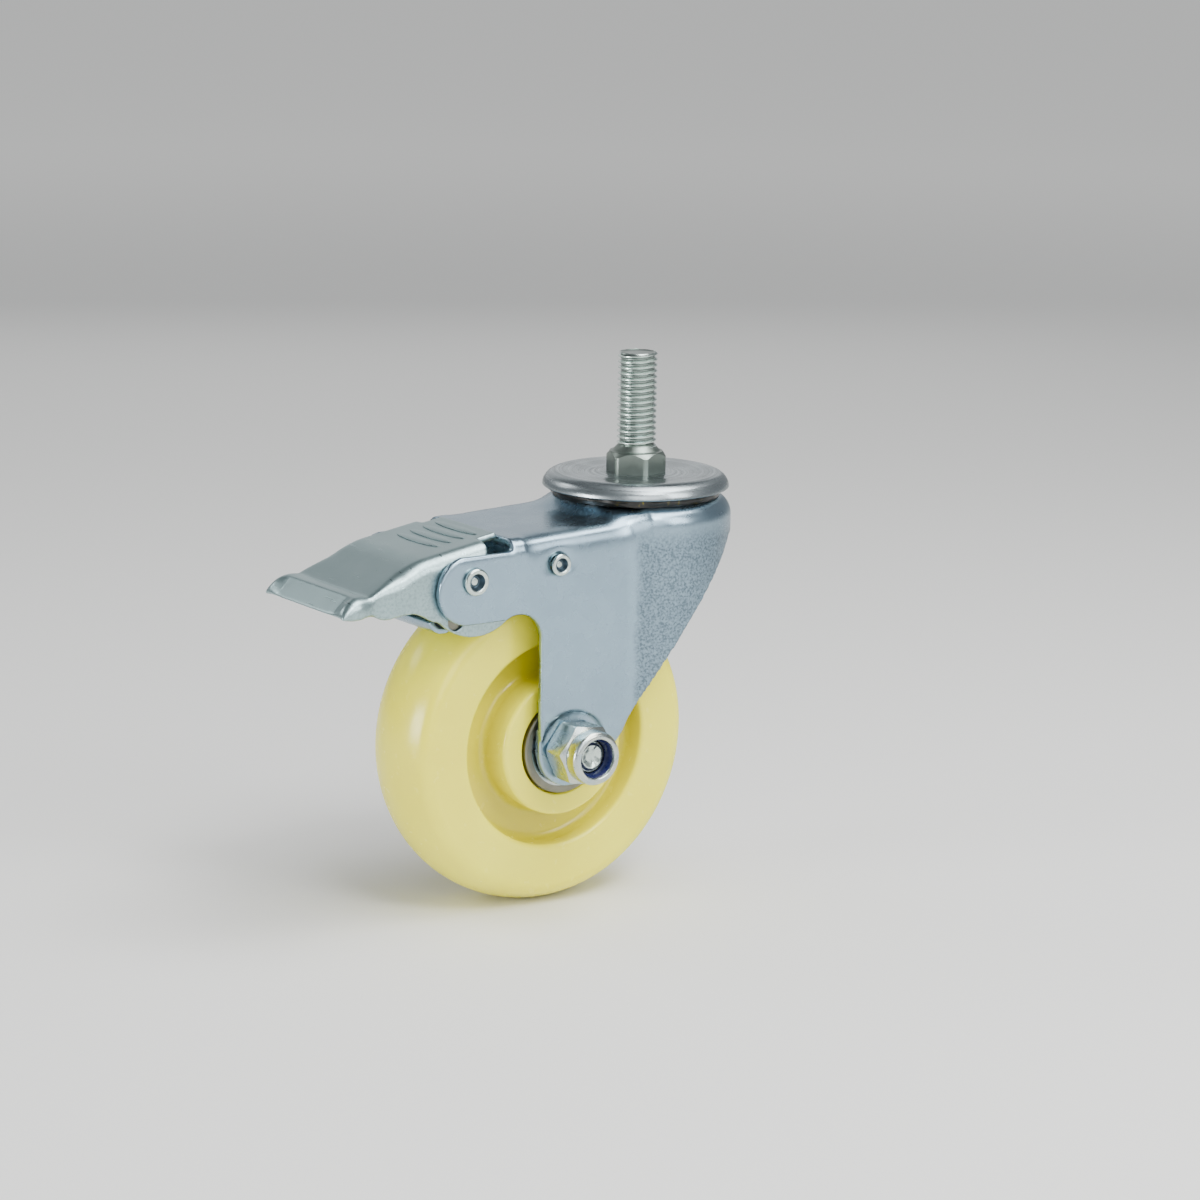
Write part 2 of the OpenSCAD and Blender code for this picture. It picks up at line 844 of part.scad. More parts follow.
// Locking nut on the near leg, with a round collar that holds its insert
module axle_nut() {
    collar_r = nut_collar_d / 2;
    hex_end = -pad_out - nut_hex_h;
    lip = 1.4;
    color("silver")
        difference() {
            union() {
                axle_hexagon(hex_end, -pad_out);
                about_axle()
                    difference() {
                        span([0, -nut_end], [collar_r, hex_end + 1]);
                        corner_cut([collar_r - lip, lip - nut_end], -90, 0, lip);
                    }
            }
            bar(axle_x, axle_z, axle_r + seat_clear, -nut_end - 1, 0);
            bar(axle_x, axle_z, insert_r - insert_t, -nut_end - 1, insert_depth - nut_end);
            bar(axle_x, axle_z, insert_r, insert_lip - nut_end, insert_depth - nut_end);
        }
}

// Nylon ring held in the nut's collar
module nut_insert() {
    round_r = 0.5;
    hole_r = axle_r + seat_clear;
    front = insert_lip - nut_end;
    color("navy")
        about_axle()
            difference() {
                span([hole_r, front], [insert_r - seat_clear, insert_depth - nut_end]);
                corner_cut([hole_r + round_r, front + round_r], 180, 270, round_r);
            }
}

// Rivet across both legs, with a dimpled head on each side
module cross_rivet(x, z, shank_r, head_r, head_h) {
    dimple_r = head_r * 0.52;
    dimple_low = leg_out + head_h * 0.25;
    head_top = leg_out + head_h;
    rim = head_h * 0.45;
    translate([x, 0, z])
        rotate([-90, 0, 0])
            rotate_extrude()
                difference() {
                    union() {
                        span([0, -leg_out], [shank_r, leg_out]);
                        for (s = [-1, 1])
                            span([0, s * leg_out], [head_r, s * head_top]);
                    }
                    for (s = [0, 1])
                        mirror([0, s]) {
                            corner_cut([head_r - rim, head_top - rim], 0, 90, rim);
                            polygon([
                                [0, dimple_low], [dimple_r * 0.55, dimple_low], [dimple_r, head_top],
                                [dimple_r, head_top + 1], [0, head_top + 1]
                            ]);
                        }
                }
}

module pedal_rivet() {
    color("gainsboro")
        cross_rivet(pivot_x, pivot_z, pedal_rivet_d / 2, pedal_rivet_d * 0.67, 1.5);
}

module lever_rivet() {
    color("gainsboro")
        cross_rivet(lever_x, lever_z, lever_rivet_d / 2, lever_rivet_d * 0.69, 1.3);
}

// Pedal: place, upward normal and widths at each station from the toe to the tongue
function plate_height(x) = soft_min(
    tongue_z + (x - tongue_x) * tan(plate_slope),
    knee_z + (x - knee_x) * tan(ramp_slope), 1.2);
function plate_normal(x) = let (turn = x > knee_x ? plate_slope : ramp_slope) [-sin(turn), cos(turn)];
lip_stations = [for (a = [lip_turn:-lip_step:lip_step / 2 - valley_turn])
    [crest_x - lip_r * sin(a), crest_z + lip_r * (cos(a) - 1), -sin(a), cos(a)]];
plate_steps = 34;
plate_stations = [for (i = [0:plate_steps])
    let (
        x = valley_x + (tongue_x - valley_x) * i / plate_steps,
        n = i == 0 ? [0, 1] : plate_normal(x)
    )
    [x, plate_height(x), n.x, n.y]];
pedal_stations = concat(lip_stations, plate_stations);
// Half width, bend radius and lower edge of the cheeks, counted from the pivot
function pedal_half_w(x) = eased(x, [
    [toe_x, toe_w], [crest_x - 2, toe_w], [valley_x + 3, cheek_out], [0, cheek_out]]);
function pedal_bend(x) = eased(x, [
    [toe_x, 2.6], [crest_x, 3.6], [valley_x + 1.5, 1.4], [knee_x - 6, cheek_bend_r], [0, cheek_bend_r]]);
function flange_low(x) = pivot_z + eased(x, [[toe_x, -7.2], [crest_x - 3, -7.6], [valley_x, -7.1],
    [valley_x + 5, -8.9], [pivot_x - 19.5, -8], [pivot_x - 10, -11.5]]);
function lobe_low(x) = abs(x - lobe_x) < lobe_r ? lobe_z - sqrt(lobe_r * lobe_r - pow(x - lobe_x, 2)) : 0;
function cheek_low(x) = min(flange_low(min(x, pivot_x - 10)) + max(x - pivot_x + 10, 0) * 0.6, lobe_low(x));
bend_steps = 6;
// Section of the bent sheet at one station: outside from one cheek to the other, then back inside
function pedal_ring(s) = let (
    x = s[0],
    top = s[1],
    half_w = pedal_half_w(x),
    inner_x = x - pedal_sheet * s[2],
    inner_top = top - pedal_sheet * s[3],
    low = min(cheek_low(x), inner_top - 0.4),
    bend = min(pedal_bend(x), (top - low) * 0.8),
    inner = min(max(bend - pedal_sheet, 0.4), (inner_top - low) * 0.8),
    flat = half_w - bend,
    inner_flat = half_w - pedal_sheet - inner,
    turns = [for (i = [0:bend_steps]) 90 * i / bend_steps],
    outside = concat([[x, half_w, low]],
        [for (a = turns) [x, flat + bend * cos(a), top - bend + bend * sin(a)]]),
    inside = concat([[x, half_w - pedal_sheet, low]],
        [for (a = turns)
            [x + (inner_x - x) * sin(a), inner_flat + inner * cos(a), inner_top - inner + inner * sin(a)]]),
    last = len(outside) - 1
) concat(
    outside, [for (i = [last:-1:0]) [outside[i].x, -outside[i].y, outside[i].z]],
    [for (p = inside) [p.x, -p.y, p.z]], [for (i = [last:-1:0]) inside[i]]);
// End faces run from the outside to the inside of the sheet
function pedal_cap(first, n, flip) = [for (i = [0:n / 2 - 2])
    each let (a = first + i, b = first + i + 1, c = first + n - 2 - i, d = first + n - 1 - i)
    flip ? [[a, d, c], [a, c, b]] : [[a, c, d], [a, b, c]]];

// Bent sheet of the pedal before its cut-outs
module pedal_sheet_form() {
    count = len(pedal_stations);
    rings = [for (i = [count - 1:-1:0]) pedal_ring(pedal_stations[i])];
    n = len(rings[0]);
    polyhedron(
        points = [for (r = rings) each r],
        faces = concat(skin_faces(count, n), pedal_cap(0, n, true), pedal_cap((count - 1) * n, n, false)),
        convexity = 6);
}

// Foot pedal pressed from one sheet, with cheeks that straddle the wheel
module brake_pedal() {
    color("lightgray")
        difference() {
            pedal_sheet_form();
            for (s = [0, 1])
                mirror([0, s, 0])
                    translate([cheek_end_x, tongue_w / 2, pivot_z + 4.2])
                        cube([far_off, far_off, far_off]);
            bar(pivot_x, pivot_z, pedal_rivet_d / 2 + pin_clear, -leg_out, leg_out);
            bar(cam_x, cam_z, cam_r + seat_clear, -leg_out, leg_out);
        }
}

// Pin between the cheeks that presses the lever down
module cam_pin() {
    color("gray")
        bar(cam_x, cam_z, cam_r, cam_inset - cheek_out, cheek_out - cam_inset);
}

// Side view of the lever: blade round the tread, hook behind the cam pin, eye and lock plate
module lever_outline() {
    reach = blade_out + 20;
    hook_turn = atan2(cam_z - axle_z, cam_x - axle_x);
    blade_mid = (blade_from + blade_to) / 2;
    intersection() {
        translate([axle_x, axle_z])
            difference() {
                circle(blade_out, $fn = 256);
                circle(blade_in, $fn = 256);
            }
        translate([axle_x, axle_z])
            polygon([
                [0, 0], reach * [cos(blade_from), sin(blade_from)],
                1.2 * reach * [cos(blade_mid), sin(blade_mid)], reach * [cos(blade_to), sin(blade_to)]
            ]);
    }
    translate([cam_x, cam_z])
        intersection() {
            difference() {
                circle(hook_r + lever_sheet);
                circle(hook_r);
            }
            rotate(hook_turn)
                polygon([[0, 0], [hook_r * 2.6, hook_r * 4], [-hook_r * 6, hook_r * 6], [-hook_r * 6, 0]]);
        }
    translate([lever_x, lever_z])
        circle(lever_eye_r);
    span([lever_x, lock_plate_top], [lock_plate_x, lock_plate_top - lever_sheet]);
}

// Brake lever, bent from one strip
module brake_lever() {
    color("dimgray")
        difference() {
            union() {
                side_plate(lever_w)
                    lever_outline();
                for (i = [-1:1])
                    rotate(180 + i * 360 / lock_notches)
                        translate([lock_r - tooth_w, -tooth_w / 2, lock_plate_top - 1])
                            cube([tooth_w, tooth_w, tooth_h + 1]);
            }
            bar(lever_x, lever_z, lever_rivet_d / 2 + pin_clear, -leg_out, leg_out);
            for (s = [0, 1])
                mirror([0, s, 0])
                    translate([lever_x + lever_eye_r + 1, lock_plate_w / 2, axle_z])
                        cube([far_off, far_off, far_off]);
        }
}

// Path of the return spring: a leg under the roof, the coil round the rivet, a leg on the lock plate
spring_sides = 8;
spring_turn_steps = 20;
spring_steps = spring_turns * spring_turn_steps;
spring_start = lever_w / 2 + spring_wire_d / 2 + 0.1;
spring_top = lever_z + spring_r;
spring_roof = roof_pivot_z - fork_sheet - spring_wire_d / 2 - 1.5;
spring_path = concat(
    [[lever_x - spring_leg, spring_start + spring_pitch * spring_turns, spring_roof]],
    [for (i = [0:spring_steps])
        let (u = spring_turns - i / spring_turn_steps)
        [lever_x - spring_r * sin(360 * u), spring_start + spring_pitch * u,
            lever_z + spring_r * cos(360 * u)]],
    [[lever_x + spring_bend, spring_start, spring_top - 0.2],
     [lever_x + spring_arm, lock_plate_w / 2 - 1.5, lock_plate_top + spring_wire_d / 2 + 0.05]]
);

// Torsion spring that lifts the lever off the wheel
module return_spring() {
    last = len(spring_path) - 1;
    function along(i) = spring_path[min(i + 1, last)] - spring_path[max(i - 1, 0)];
    points = [for (i = [0:last], k = [0:spring_sides - 1])
        let (
            a = 360 * k / spring_sides,
            t = along(i) / norm(along(i)),
            side = cross(t, [0, 1, 0]) / norm(cross(t, [0, 1, 0])),
            up = cross(side, t)
        )
        spring_path[i] + spring_wire_d / 2 * (cos(a) * side + sin(a) * up)];
    faces = concat(
        skin_faces(last + 1, spring_sides),
        [[for (k = [spring_sides - 1:-1:0]) k]],
        [[for (k = [0:spring_sides - 1]) last * spring_sides + k]]
    );
    color("darkslategray")
        polyhedron(points = points, faces = faces, convexity = 8);
}

threaded_stem();
swivel_cap();
swivel_sleeve();
upper_balls();
lower_balls();
lower_race_cup();
fork();
axle_bolt();
axle_nut();
nut_insert();
axle_sleeve();
near_spacer();
far_spacer();
near_inner_ring();
far_inner_ring();
near_outer_ring();
far_outer_ring();
near_bearing_balls();
far_bearing_balls();
near_dust_shield();
far_dust_shield();
wheel();
brake_pedal();
pedal_rivet();
cam_pin();
brake_lever();
lever_rivet();
return_spring();
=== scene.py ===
"""Looks of a braked swivel castor, built as an add-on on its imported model."""
import json
import math

import bmesh
import bpy
from bpy.props import FloatProperty, FloatVectorProperty, IntProperty, PointerProperty
from mathutils import Matrix, Vector, noise


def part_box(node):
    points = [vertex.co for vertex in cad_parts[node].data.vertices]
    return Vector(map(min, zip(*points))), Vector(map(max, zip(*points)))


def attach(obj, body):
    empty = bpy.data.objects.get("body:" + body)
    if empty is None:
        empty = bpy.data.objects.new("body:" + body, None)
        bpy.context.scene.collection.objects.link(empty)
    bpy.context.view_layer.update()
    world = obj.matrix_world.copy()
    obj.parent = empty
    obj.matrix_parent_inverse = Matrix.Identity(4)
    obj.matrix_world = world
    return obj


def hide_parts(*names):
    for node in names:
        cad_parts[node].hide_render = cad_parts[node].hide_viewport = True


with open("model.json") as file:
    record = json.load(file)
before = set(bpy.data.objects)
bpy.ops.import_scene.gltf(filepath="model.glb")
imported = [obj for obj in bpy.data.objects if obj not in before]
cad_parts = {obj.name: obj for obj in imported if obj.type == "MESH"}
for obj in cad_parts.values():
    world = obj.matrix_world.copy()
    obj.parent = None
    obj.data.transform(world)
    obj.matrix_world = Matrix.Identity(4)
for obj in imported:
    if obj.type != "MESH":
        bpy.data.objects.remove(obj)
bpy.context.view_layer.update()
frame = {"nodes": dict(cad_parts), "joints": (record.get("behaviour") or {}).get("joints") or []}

bl_info = {
    "name": "Braked castor",
    "version": (1, 0, 0),
    "blender": (4, 5, 0),
    "location": "View3D > Sidebar > Castor",
    "description": "Builds the visible pieces of a braked swivel castor on its packed model",
    "category": "Object",
}

MM = 0.001
NODES = frame["nodes"]
JOINTS = {joint["name"]: Vector(joint["pos_m"]) for joint in frame["joints"]}
AXLE = JOINTS["wheel_spin"]
PEDAL_PIVOT = JOINTS["pedal_press"]
LEVER_PIVOT = JOINTS["lever_press"]
FLOOR_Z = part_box("wheel")[0].z
ALONG_AXLE = Matrix.Rotation(math.radians(-90), 4, "X")
# Half the width across flats of the axle's nut and bolt head, in mm, and their turn in degrees
NUT_APOTHEM = 8.5
NUT_TURN = 37
# Where the fork's sheet starts to be stretched, along X in mm
DRAWN_FROM = -15.5
# Rows of faces in one pitch of the thread
THREAD_ROWS = 12
# The photo's lens and distance, in mm
PHOTO_LENS = 107.716
PHOTO_DISTANCE = 1083.72


def linear(code):
    """Linear red, green and blue of an sRGB hex colour."""
    parts = [int(code[i:i + 2], 16) / 255 for i in (1, 3, 5)]
    return [c / 12.92 if c <= 0.04045 else ((c + 0.055) / 1.055) ** 2.4 for c in parts]


def colour_setting(name, description, code):
    """A colour that the panel shows, with an sRGB hex colour as its default."""
    return FloatVectorProperty(
        name=name, description=description, subtype="COLOR", min=0, max=1, default=linear(code))


class CastorColours(bpy.types.PropertyGroup):
    """Colours of the castor's finishes."""

    zinc: colour_setting("Zinc", "Zinc plate on the pressed sheet", "#98AFBE")
    zinc_shade: colour_setting("Zinc shade", "Darker clouds in the zinc plate", "#8AA1B0")
    pedal: colour_setting("Pedal", "Zinc plate on the pedal", "#A9C0C2")
    pedal_shade: colour_setting("Pedal shade", "Darker clouds on the pedal", "#94ABAD")
    passivated: colour_setting("Passivated zinc", "Yellowish tint on the nut", "#D6D4BE")
    nylon: colour_setting("Nylon", "Cream nylon of the wheel", "#F3EE48")
    # Painted shade: the deeper yellow of the wheel's recessed web.
    nylon_recess_shade: colour_setting("Nylon web", "Deeper yellow of the wheel's thin web", "#CFC41C")
    nylon_deep: colour_setting("Deep nylon", "Warmer clouds in the nylon", "#E9DE34")
    turned: colour_setting("Turned steel", "Bright zinc on the stem, bolt and rivets", "#CCDAD4")
    cap: colour_setting("Cap", "Zinc plate on the spun cap", "#AEB8BC")
    collar: colour_setting("Collar", "Dull steel of the stem's collar", "#88938C")
    insert: colour_setting("Nut insert", "Dark blue nylon ring in the nut", "#0B1550")
    grease: colour_setting("Grease", "Grease between cap and crown", "#655A16")
    floor: colour_setting("Floor", "Pale studio floor", "#E4E4E2")


class CastorSizes(bpy.types.PropertyGroup):
    """Sizes of the details that the looks add to the solids."""

    thread_pitch: FloatProperty(
        name="Thread pitch", description="Rise of the stem's thread in one turn", unit="LENGTH",
        min=0.5 * MM, max=3 * MM, default=1.75 * MM)
    thread_depth: FloatProperty(
        name="Thread depth", description="Depth of the thread's grooves", unit="LENGTH",
        min=0.2 * MM, max=2 * MM, default=0.95 * MM)
    sheet_voxel: FloatProperty(
        name="Sheet detail", description="Grid on which pressed sheet edges are rounded", unit="LENGTH",
        min=0.3 * MM, max=2 * MM, default=0.58 * MM)
    rib_count: IntProperty(
        name="Tread ribs", description="Ribs pressed into the pedal's plate", min=0, max=9, default=4)
    rib_length: FloatProperty(
        name="Rib length", description="Length of a rib across the pedal", unit="LENGTH",
        min=4 * MM, max=34 * MM, default=22 * MM)
    rib_height: FloatProperty(
        name="Rib height", description="Height of a rib above the plate", unit="LENGTH",
        min=0.1 * MM, max=1.5 * MM, default=0.28 * MM)
    wheel_segments: IntProperty(
        name="Wheel segments", description="Steps round the wheel", min=48, max=360, default=192)


class CastorLooks(bpy.types.PropertyGroup):
    """All the settings of the castor's looks."""

    colours: PointerProperty(type=CastorColours)
    sizes: PointerProperty(type=CastorSizes)


def add(tree, kind, links=None, **settings):
    """Adds a node to a tree, with its settings and with values or links on its inputs."""
    node = tree.nodes.new(kind)
    for key, value in settings.items():
        setattr(node, key, value)
    for key, value in (links or {}).items():
        if isinstance(value, bpy.types.NodeSocket):
            tree.links.new(value, node.inputs[key])
        else:
            node.inputs[key].default_value = value
    return node


def per_mm(size):
    """Scale of a pattern whose features are this many millimetres wide."""
    return 1 / (size * MM)


def blank_material(name):
    """An empty node material, or the finished one of that name."""
    material = bpy.data.materials.new(name)
    material.use_nodes = True
    material.node_tree.nodes.clear()
    return material


def zinc_sheet(name, light, shade, roughness, drawn):
    """Zinc plate on pressed sheet: a cool satin metal with soft clouds from the plating bath.
    Where the press stretched the sheet, ahead of drawn along X and below the crown, dark grains speckle it;
    they also paint the shade on the stretched skirt."""
    material = blank_material(name)
    tree = material.node_tree
    place = add(tree, "ShaderNodeTexCoord").outputs["Object"]
    clouds = add(tree, "ShaderNodeTexNoise", {"Vector": place, "Scale": per_mm(14), "Detail": 3.0})
    plate = add(tree, "ShaderNodeMix", {
        0: clouds.outputs["Fac"], 6: (*light, 1), 7: (*shade, 1)}, data_type="RGBA")
    # Real grains are finer. These are drawn as coarse as they need to show.
    grains = add(tree, "ShaderNodeTexNoise", {
        "Vector": place, "Scale": per_mm(0.7), "Detail": 2.0, "Roughness": 0.6})
    smear = add(tree, "ShaderNodeTexNoise", {"Vector": place, "Scale": per_mm(6), "Detail": 2.0})
    along = add(tree, "ShaderNodeSeparateXYZ", {"Vector": place})
    wavy = add(tree, "ShaderNodeMath", {0: smear.outputs["Fac"], 1: 3 * MM, 2: along.outputs["X"]},
               operation="MULTIPLY_ADD")
    stretched = add(tree, "ShaderNodeMapRange", {
        "Value": wavy.outputs["Value"], "From Min": drawn * MM, "From Max": (drawn + 2) * MM,
        "To Min": 0.04, "To Max": 1.0})
    below = add(tree, "ShaderNodeMapRange", {
        "Value": along.outputs["Z"], "From Min": -19 * MM, "From Max": -24 * MM, "To Min": 0.15, "To Max": 1.0})
    drawn_and_shaded_zone = add(tree, "ShaderNodeMath", {0: stretched.outputs["Result"], 1: below.outputs["Result"]},
                 operation="MULTIPLY")
    dark = add(tree, "ShaderNodeMapRange", {
        "Value": grains.outputs["Fac"], "From Min": 0.38, "From Max": 0.64, "To Min": 0.2, "To Max": 0.95})
    speckle = add(tree, "ShaderNodeMath", {0: dark.outputs["Result"], 1: drawn_and_shaded_zone.outputs["Value"]},
                  operation="MULTIPLY")
    # The dark grains are partly painted shade: they darken the stretched skirt, and less so up on the crown.
    colour = add(tree, "ShaderNodeMix", {
        0: speckle.outputs["Value"], 6: plate.outputs[2], 7: (*[v * 0.45 for v in shade], 1)}, data_type="RGBA")
    rough = add(tree, "ShaderNodeMapRange", {
        "Value": smear.outputs["Fac"], "From Min": 0.3, "From Max": 0.7,
        "To Min": roughness - 0.03, "To Max": roughness + 0.04})
    uneven = add(tree, "ShaderNodeMath", {
        0: speckle.outputs["Value"], 1: 0.15, 2: rough.outputs["Result"]}, operation="MULTIPLY_ADD")
    height = add(tree, "ShaderNodeMath", {0: grains.outputs["Fac"], 1: drawn_and_shaded_zone.outputs["Value"]},
                 operation="MULTIPLY")
    bump = add(tree, "ShaderNodeBump", {
        "Strength": 0.5, "Distance": 0.16 * MM, "Height": height.outputs["Value"]})
    skin = add(tree, "ShaderNodeBsdfPrincipled", {
        "Base Color": colour.outputs[2], "Metallic": 1.0, "Roughness": uneven.outputs["Value"],
        "Normal": bump.outputs["Normal"]})
    add(tree, "ShaderNodeOutputMaterial", {"Surface": skin.outputs["BSDF"]})
    return material


def scuffed_zinc(name, light, shade):
    """Zinc plate under feet: satin metal, finely scratched, with dark grains on the drawn sides."""
    material = blank_material(name)
    tree = material.node_tree
    place = add(tree, "ShaderNodeTexCoord").outputs["Object"]
    clouds = add(tree, "ShaderNodeTexNoise", {"Vector": place, "Scale": per_mm(11), "Detail": 4.0})
    colour = add(tree, "ShaderNodeMix", {
        0: clouds.outputs["Fac"], 6: (*light, 1), 7: (*shade, 1)}, data_type="RGBA")
    turned = add(tree, "ShaderNodeMapping", {"Vector": place, "Rotation": (0, 0, 0.5), "Scale": (1, 0.05, 1)})
    lines = add(tree, "ShaderNodeTexNoise", {
        "Vector": turned.outputs["Vector"], "Scale": per_mm(0.8), "Detail": 2.0})
    scratch = add(tree, "ShaderNodeMapRange", {
        "Value": lines.outputs["Fac"], "From Min": 0.66, "From Max": 0.74, "To Min": 0.0, "To Max": 1.0})
    grain = add(tree, "ShaderNodeTexNoise", {"Vector": place, "Scale": per_mm(0.9), "Detail": 4.0})
    height = add(tree, "ShaderNodeMath", {0: grain.outputs["Fac"], 1: scratch.outputs["Result"]},
                 operation="SUBTRACT")
    across = add(tree, "ShaderNodeSeparateXYZ", {"Vector": place})
    aside = add(tree, "ShaderNodeMath", {0: across.outputs["Y"]}, operation="ABSOLUTE")
    flange = add(tree, "ShaderNodeMapRange", {
        "Value": aside.outputs["Value"], "From Min": 17 * MM, "From Max": 20 * MM,
        "To Min": 0.0, "To Max": 0.35})
    dark = add(tree, "ShaderNodeMapRange", {
        "Value": grain.outputs["Fac"], "From Min": 0.45, "From Max": 0.65, "To Min": 0.0, "To Max": 1.0})
    speckle = add(tree, "ShaderNodeMath", {0: dark.outputs["Result"], 1: flange.outputs["Result"]},
                  operation="MULTIPLY")
    worn = add(tree, "ShaderNodeMix", {
        0: speckle.outputs["Value"], 6: colour.outputs[2], 7: (*[v * 0.45 for v in shade], 1)},
        data_type="RGBA")
    rough = add(tree, "ShaderNodeMapRange", {
        "Value": height.outputs["Value"], "From Min": -0.4, "From Max": 0.7, "To Min": 0.22, "To Max": 0.38})
    bump = add(tree, "ShaderNodeBump", {
        "Strength": 0.2, "Distance": 0.06 * MM, "Height": height.outputs["Value"]})
    skin = add(tree, "ShaderNodeBsdfPrincipled", {
        "Base Color": worn.outputs[2], "Metallic": 1.0, "Roughness": rough.outputs["Result"],
        "Normal": bump.outputs["Normal"]})
    add(tree, "ShaderNodeOutputMaterial", {"Surface": skin.outputs["BSDF"]})
    return material


def turned_metal(name, light, shade, roughness):
    """Turned or rolled steel under bright zinc: sharper reflections, with faint dull spots."""
    material = blank_material(name)
    tree = material.node_tree
    place = add(tree, "ShaderNodeTexCoord").outputs["Object"]
    spots = add(tree, "ShaderNodeTexNoise", {"Vector": place, "Scale": per_mm(3.5), "Detail": 2.0})
    colour = add(tree, "ShaderNodeMix", {
        0: spots.outputs["Fac"], 6: (*light, 1), 7: (*shade, 1)}, data_type="RGBA")
    rough = add(tree, "ShaderNodeMapRange", {
        "Value": spots.outputs["Fac"], "From Min": 0.3, "From Max": 0.7,
        "To Min": roughness - 0.06, "To Max": roughness + 0.08})
    bump = add(tree, "ShaderNodeBump", {
        "Strength": 0.06, "Distance": 0.05 * MM, "Height": spots.outputs["Fac"]})
    skin = add(tree, "ShaderNodeBsdfPrincipled", {
        "Base Color": colour.outputs[2], "Metallic": 1.0, "Roughness": rough.outputs["Result"],
        "Normal": bump.outputs["Normal"]})
    add(tree, "ShaderNodeOutputMaterial", {"Surface": skin.outputs["BSDF"]})
    return material


def threaded_zinc(name, light, dark, root, crest):
    """Zinc on a rolled thread: bright crests over grooves darkened with painted shade."""
    material = blank_material(name)
    tree = material.node_tree
    place = add(tree, "ShaderNodeTexCoord").outputs["Object"]
    flat = add(tree, "ShaderNodeVectorMath", {0: place, 1: (1, 1, 0)}, operation="MULTIPLY")
    reach = add(tree, "ShaderNodeVectorMath", {0: flat.outputs["Vector"]}, operation="LENGTH")
    # Painted shade: darker from the crest down into the root of the grooves.
    crest_share = add(tree, "ShaderNodeMapRange", {
        "Value": reach.outputs["Value"], "From Min": root * MM, "From Max": crest * MM,
        "To Min": 0.0, "To Max": 1.0})
    spots = add(tree, "ShaderNodeTexNoise", {"Vector": place, "Scale": per_mm(4), "Detail": 2.0})
    out_of_shade_share = add(tree, "ShaderNodeMath", {0: spots.outputs["Fac"], 1: 0.4, 2: crest_share.outputs["Result"]},
                operation="MULTIPLY_ADD", use_clamp=True)
    colour = add(tree, "ShaderNodeMix", {
        0: out_of_shade_share.outputs["Value"], 6: (*dark, 1), 7: (*light, 1)}, data_type="RGBA")
    rough = add(tree, "ShaderNodeMapRange", {
        "Value": out_of_shade_share.outputs["Value"], "From Min": 0.0, "From Max": 1.0, "To Min": 0.4, "To Max": 0.22})
    skin = add(tree, "ShaderNodeBsdfPrincipled", {
        "Base Color": colour.outputs[2], "Metallic": 1.0, "Roughness": rough.outputs["Result"]})
    add(tree, "ShaderNodeOutputMaterial", {"Surface": skin.outputs["BSDF"]})
    return material


def spun_zinc(name, light, shade, roughness):
    """Zinc plate on a spun disc: satin metal with clouds, and polishing lines that run round the middle."""
    material = blank_material(name)
    tree = material.node_tree
    place = add(tree, "ShaderNodeTexCoord").outputs["Object"]
    flat = add(tree, "ShaderNodeVectorMath", {0: place, 1: (1, 1, 0)}, operation="MULTIPLY")
    reach = add(tree, "ShaderNodeVectorMath", {0: flat.outputs["Vector"]}, operation="LENGTH")
    # Polishing lines are finer than this, and are drawn as coarse as they need to show.
    rings = add(tree, "ShaderNodeTexNoise", {
        "W": reach.outputs["Value"], "Scale": per_mm(0.9), "Detail": 3.0}, noise_dimensions="1D")
    clouds = add(tree, "ShaderNodeTexNoise", {"Vector": place, "Scale": per_mm(9), "Detail": 4.0})
    both = add(tree, "ShaderNodeMath", {0: rings.outputs["Fac"], 1: clouds.outputs["Fac"]}, operation="ADD")
    worn = add(tree, "ShaderNodeMapRange", {
        "Value": both.outputs["Value"], "From Min": 0.7, "From Max": 1.3, "To Min": 0.0, "To Max": 1.0})
    colour = add(tree, "ShaderNodeMix", {
        0: worn.outputs["Result"], 6: (*light, 1), 7: (*shade, 1)}, data_type="RGBA")
    rough = add(tree, "ShaderNodeMapRange", {
        "Value": worn.outputs["Result"], "From Min": 0.0, "From Max": 1.0,
        "To Min": roughness - 0.05, "To Max": roughness + 0.09})
    bump = add(tree, "ShaderNodeBump", {
        "Strength": 0.12, "Distance": 0.06 * MM, "Height": both.outputs["Value"]})
    grain = add(tree, "ShaderNodeTangent", direction_type="RADIAL", axis="Z").outputs["Tangent"]
    skin = add(tree, "ShaderNodeBsdfPrincipled", {
        "Base Color": colour.outputs[2], "Metallic": 1.0, "Roughness": rough.outputs["Result"],
        "Anisotropic": 0.5, "Tangent": grain,
        "Normal": bump.outputs["Normal"]})
    add(tree, "ShaderNodeOutputMaterial", {"Surface": skin.outputs["BSDF"]})
    return material


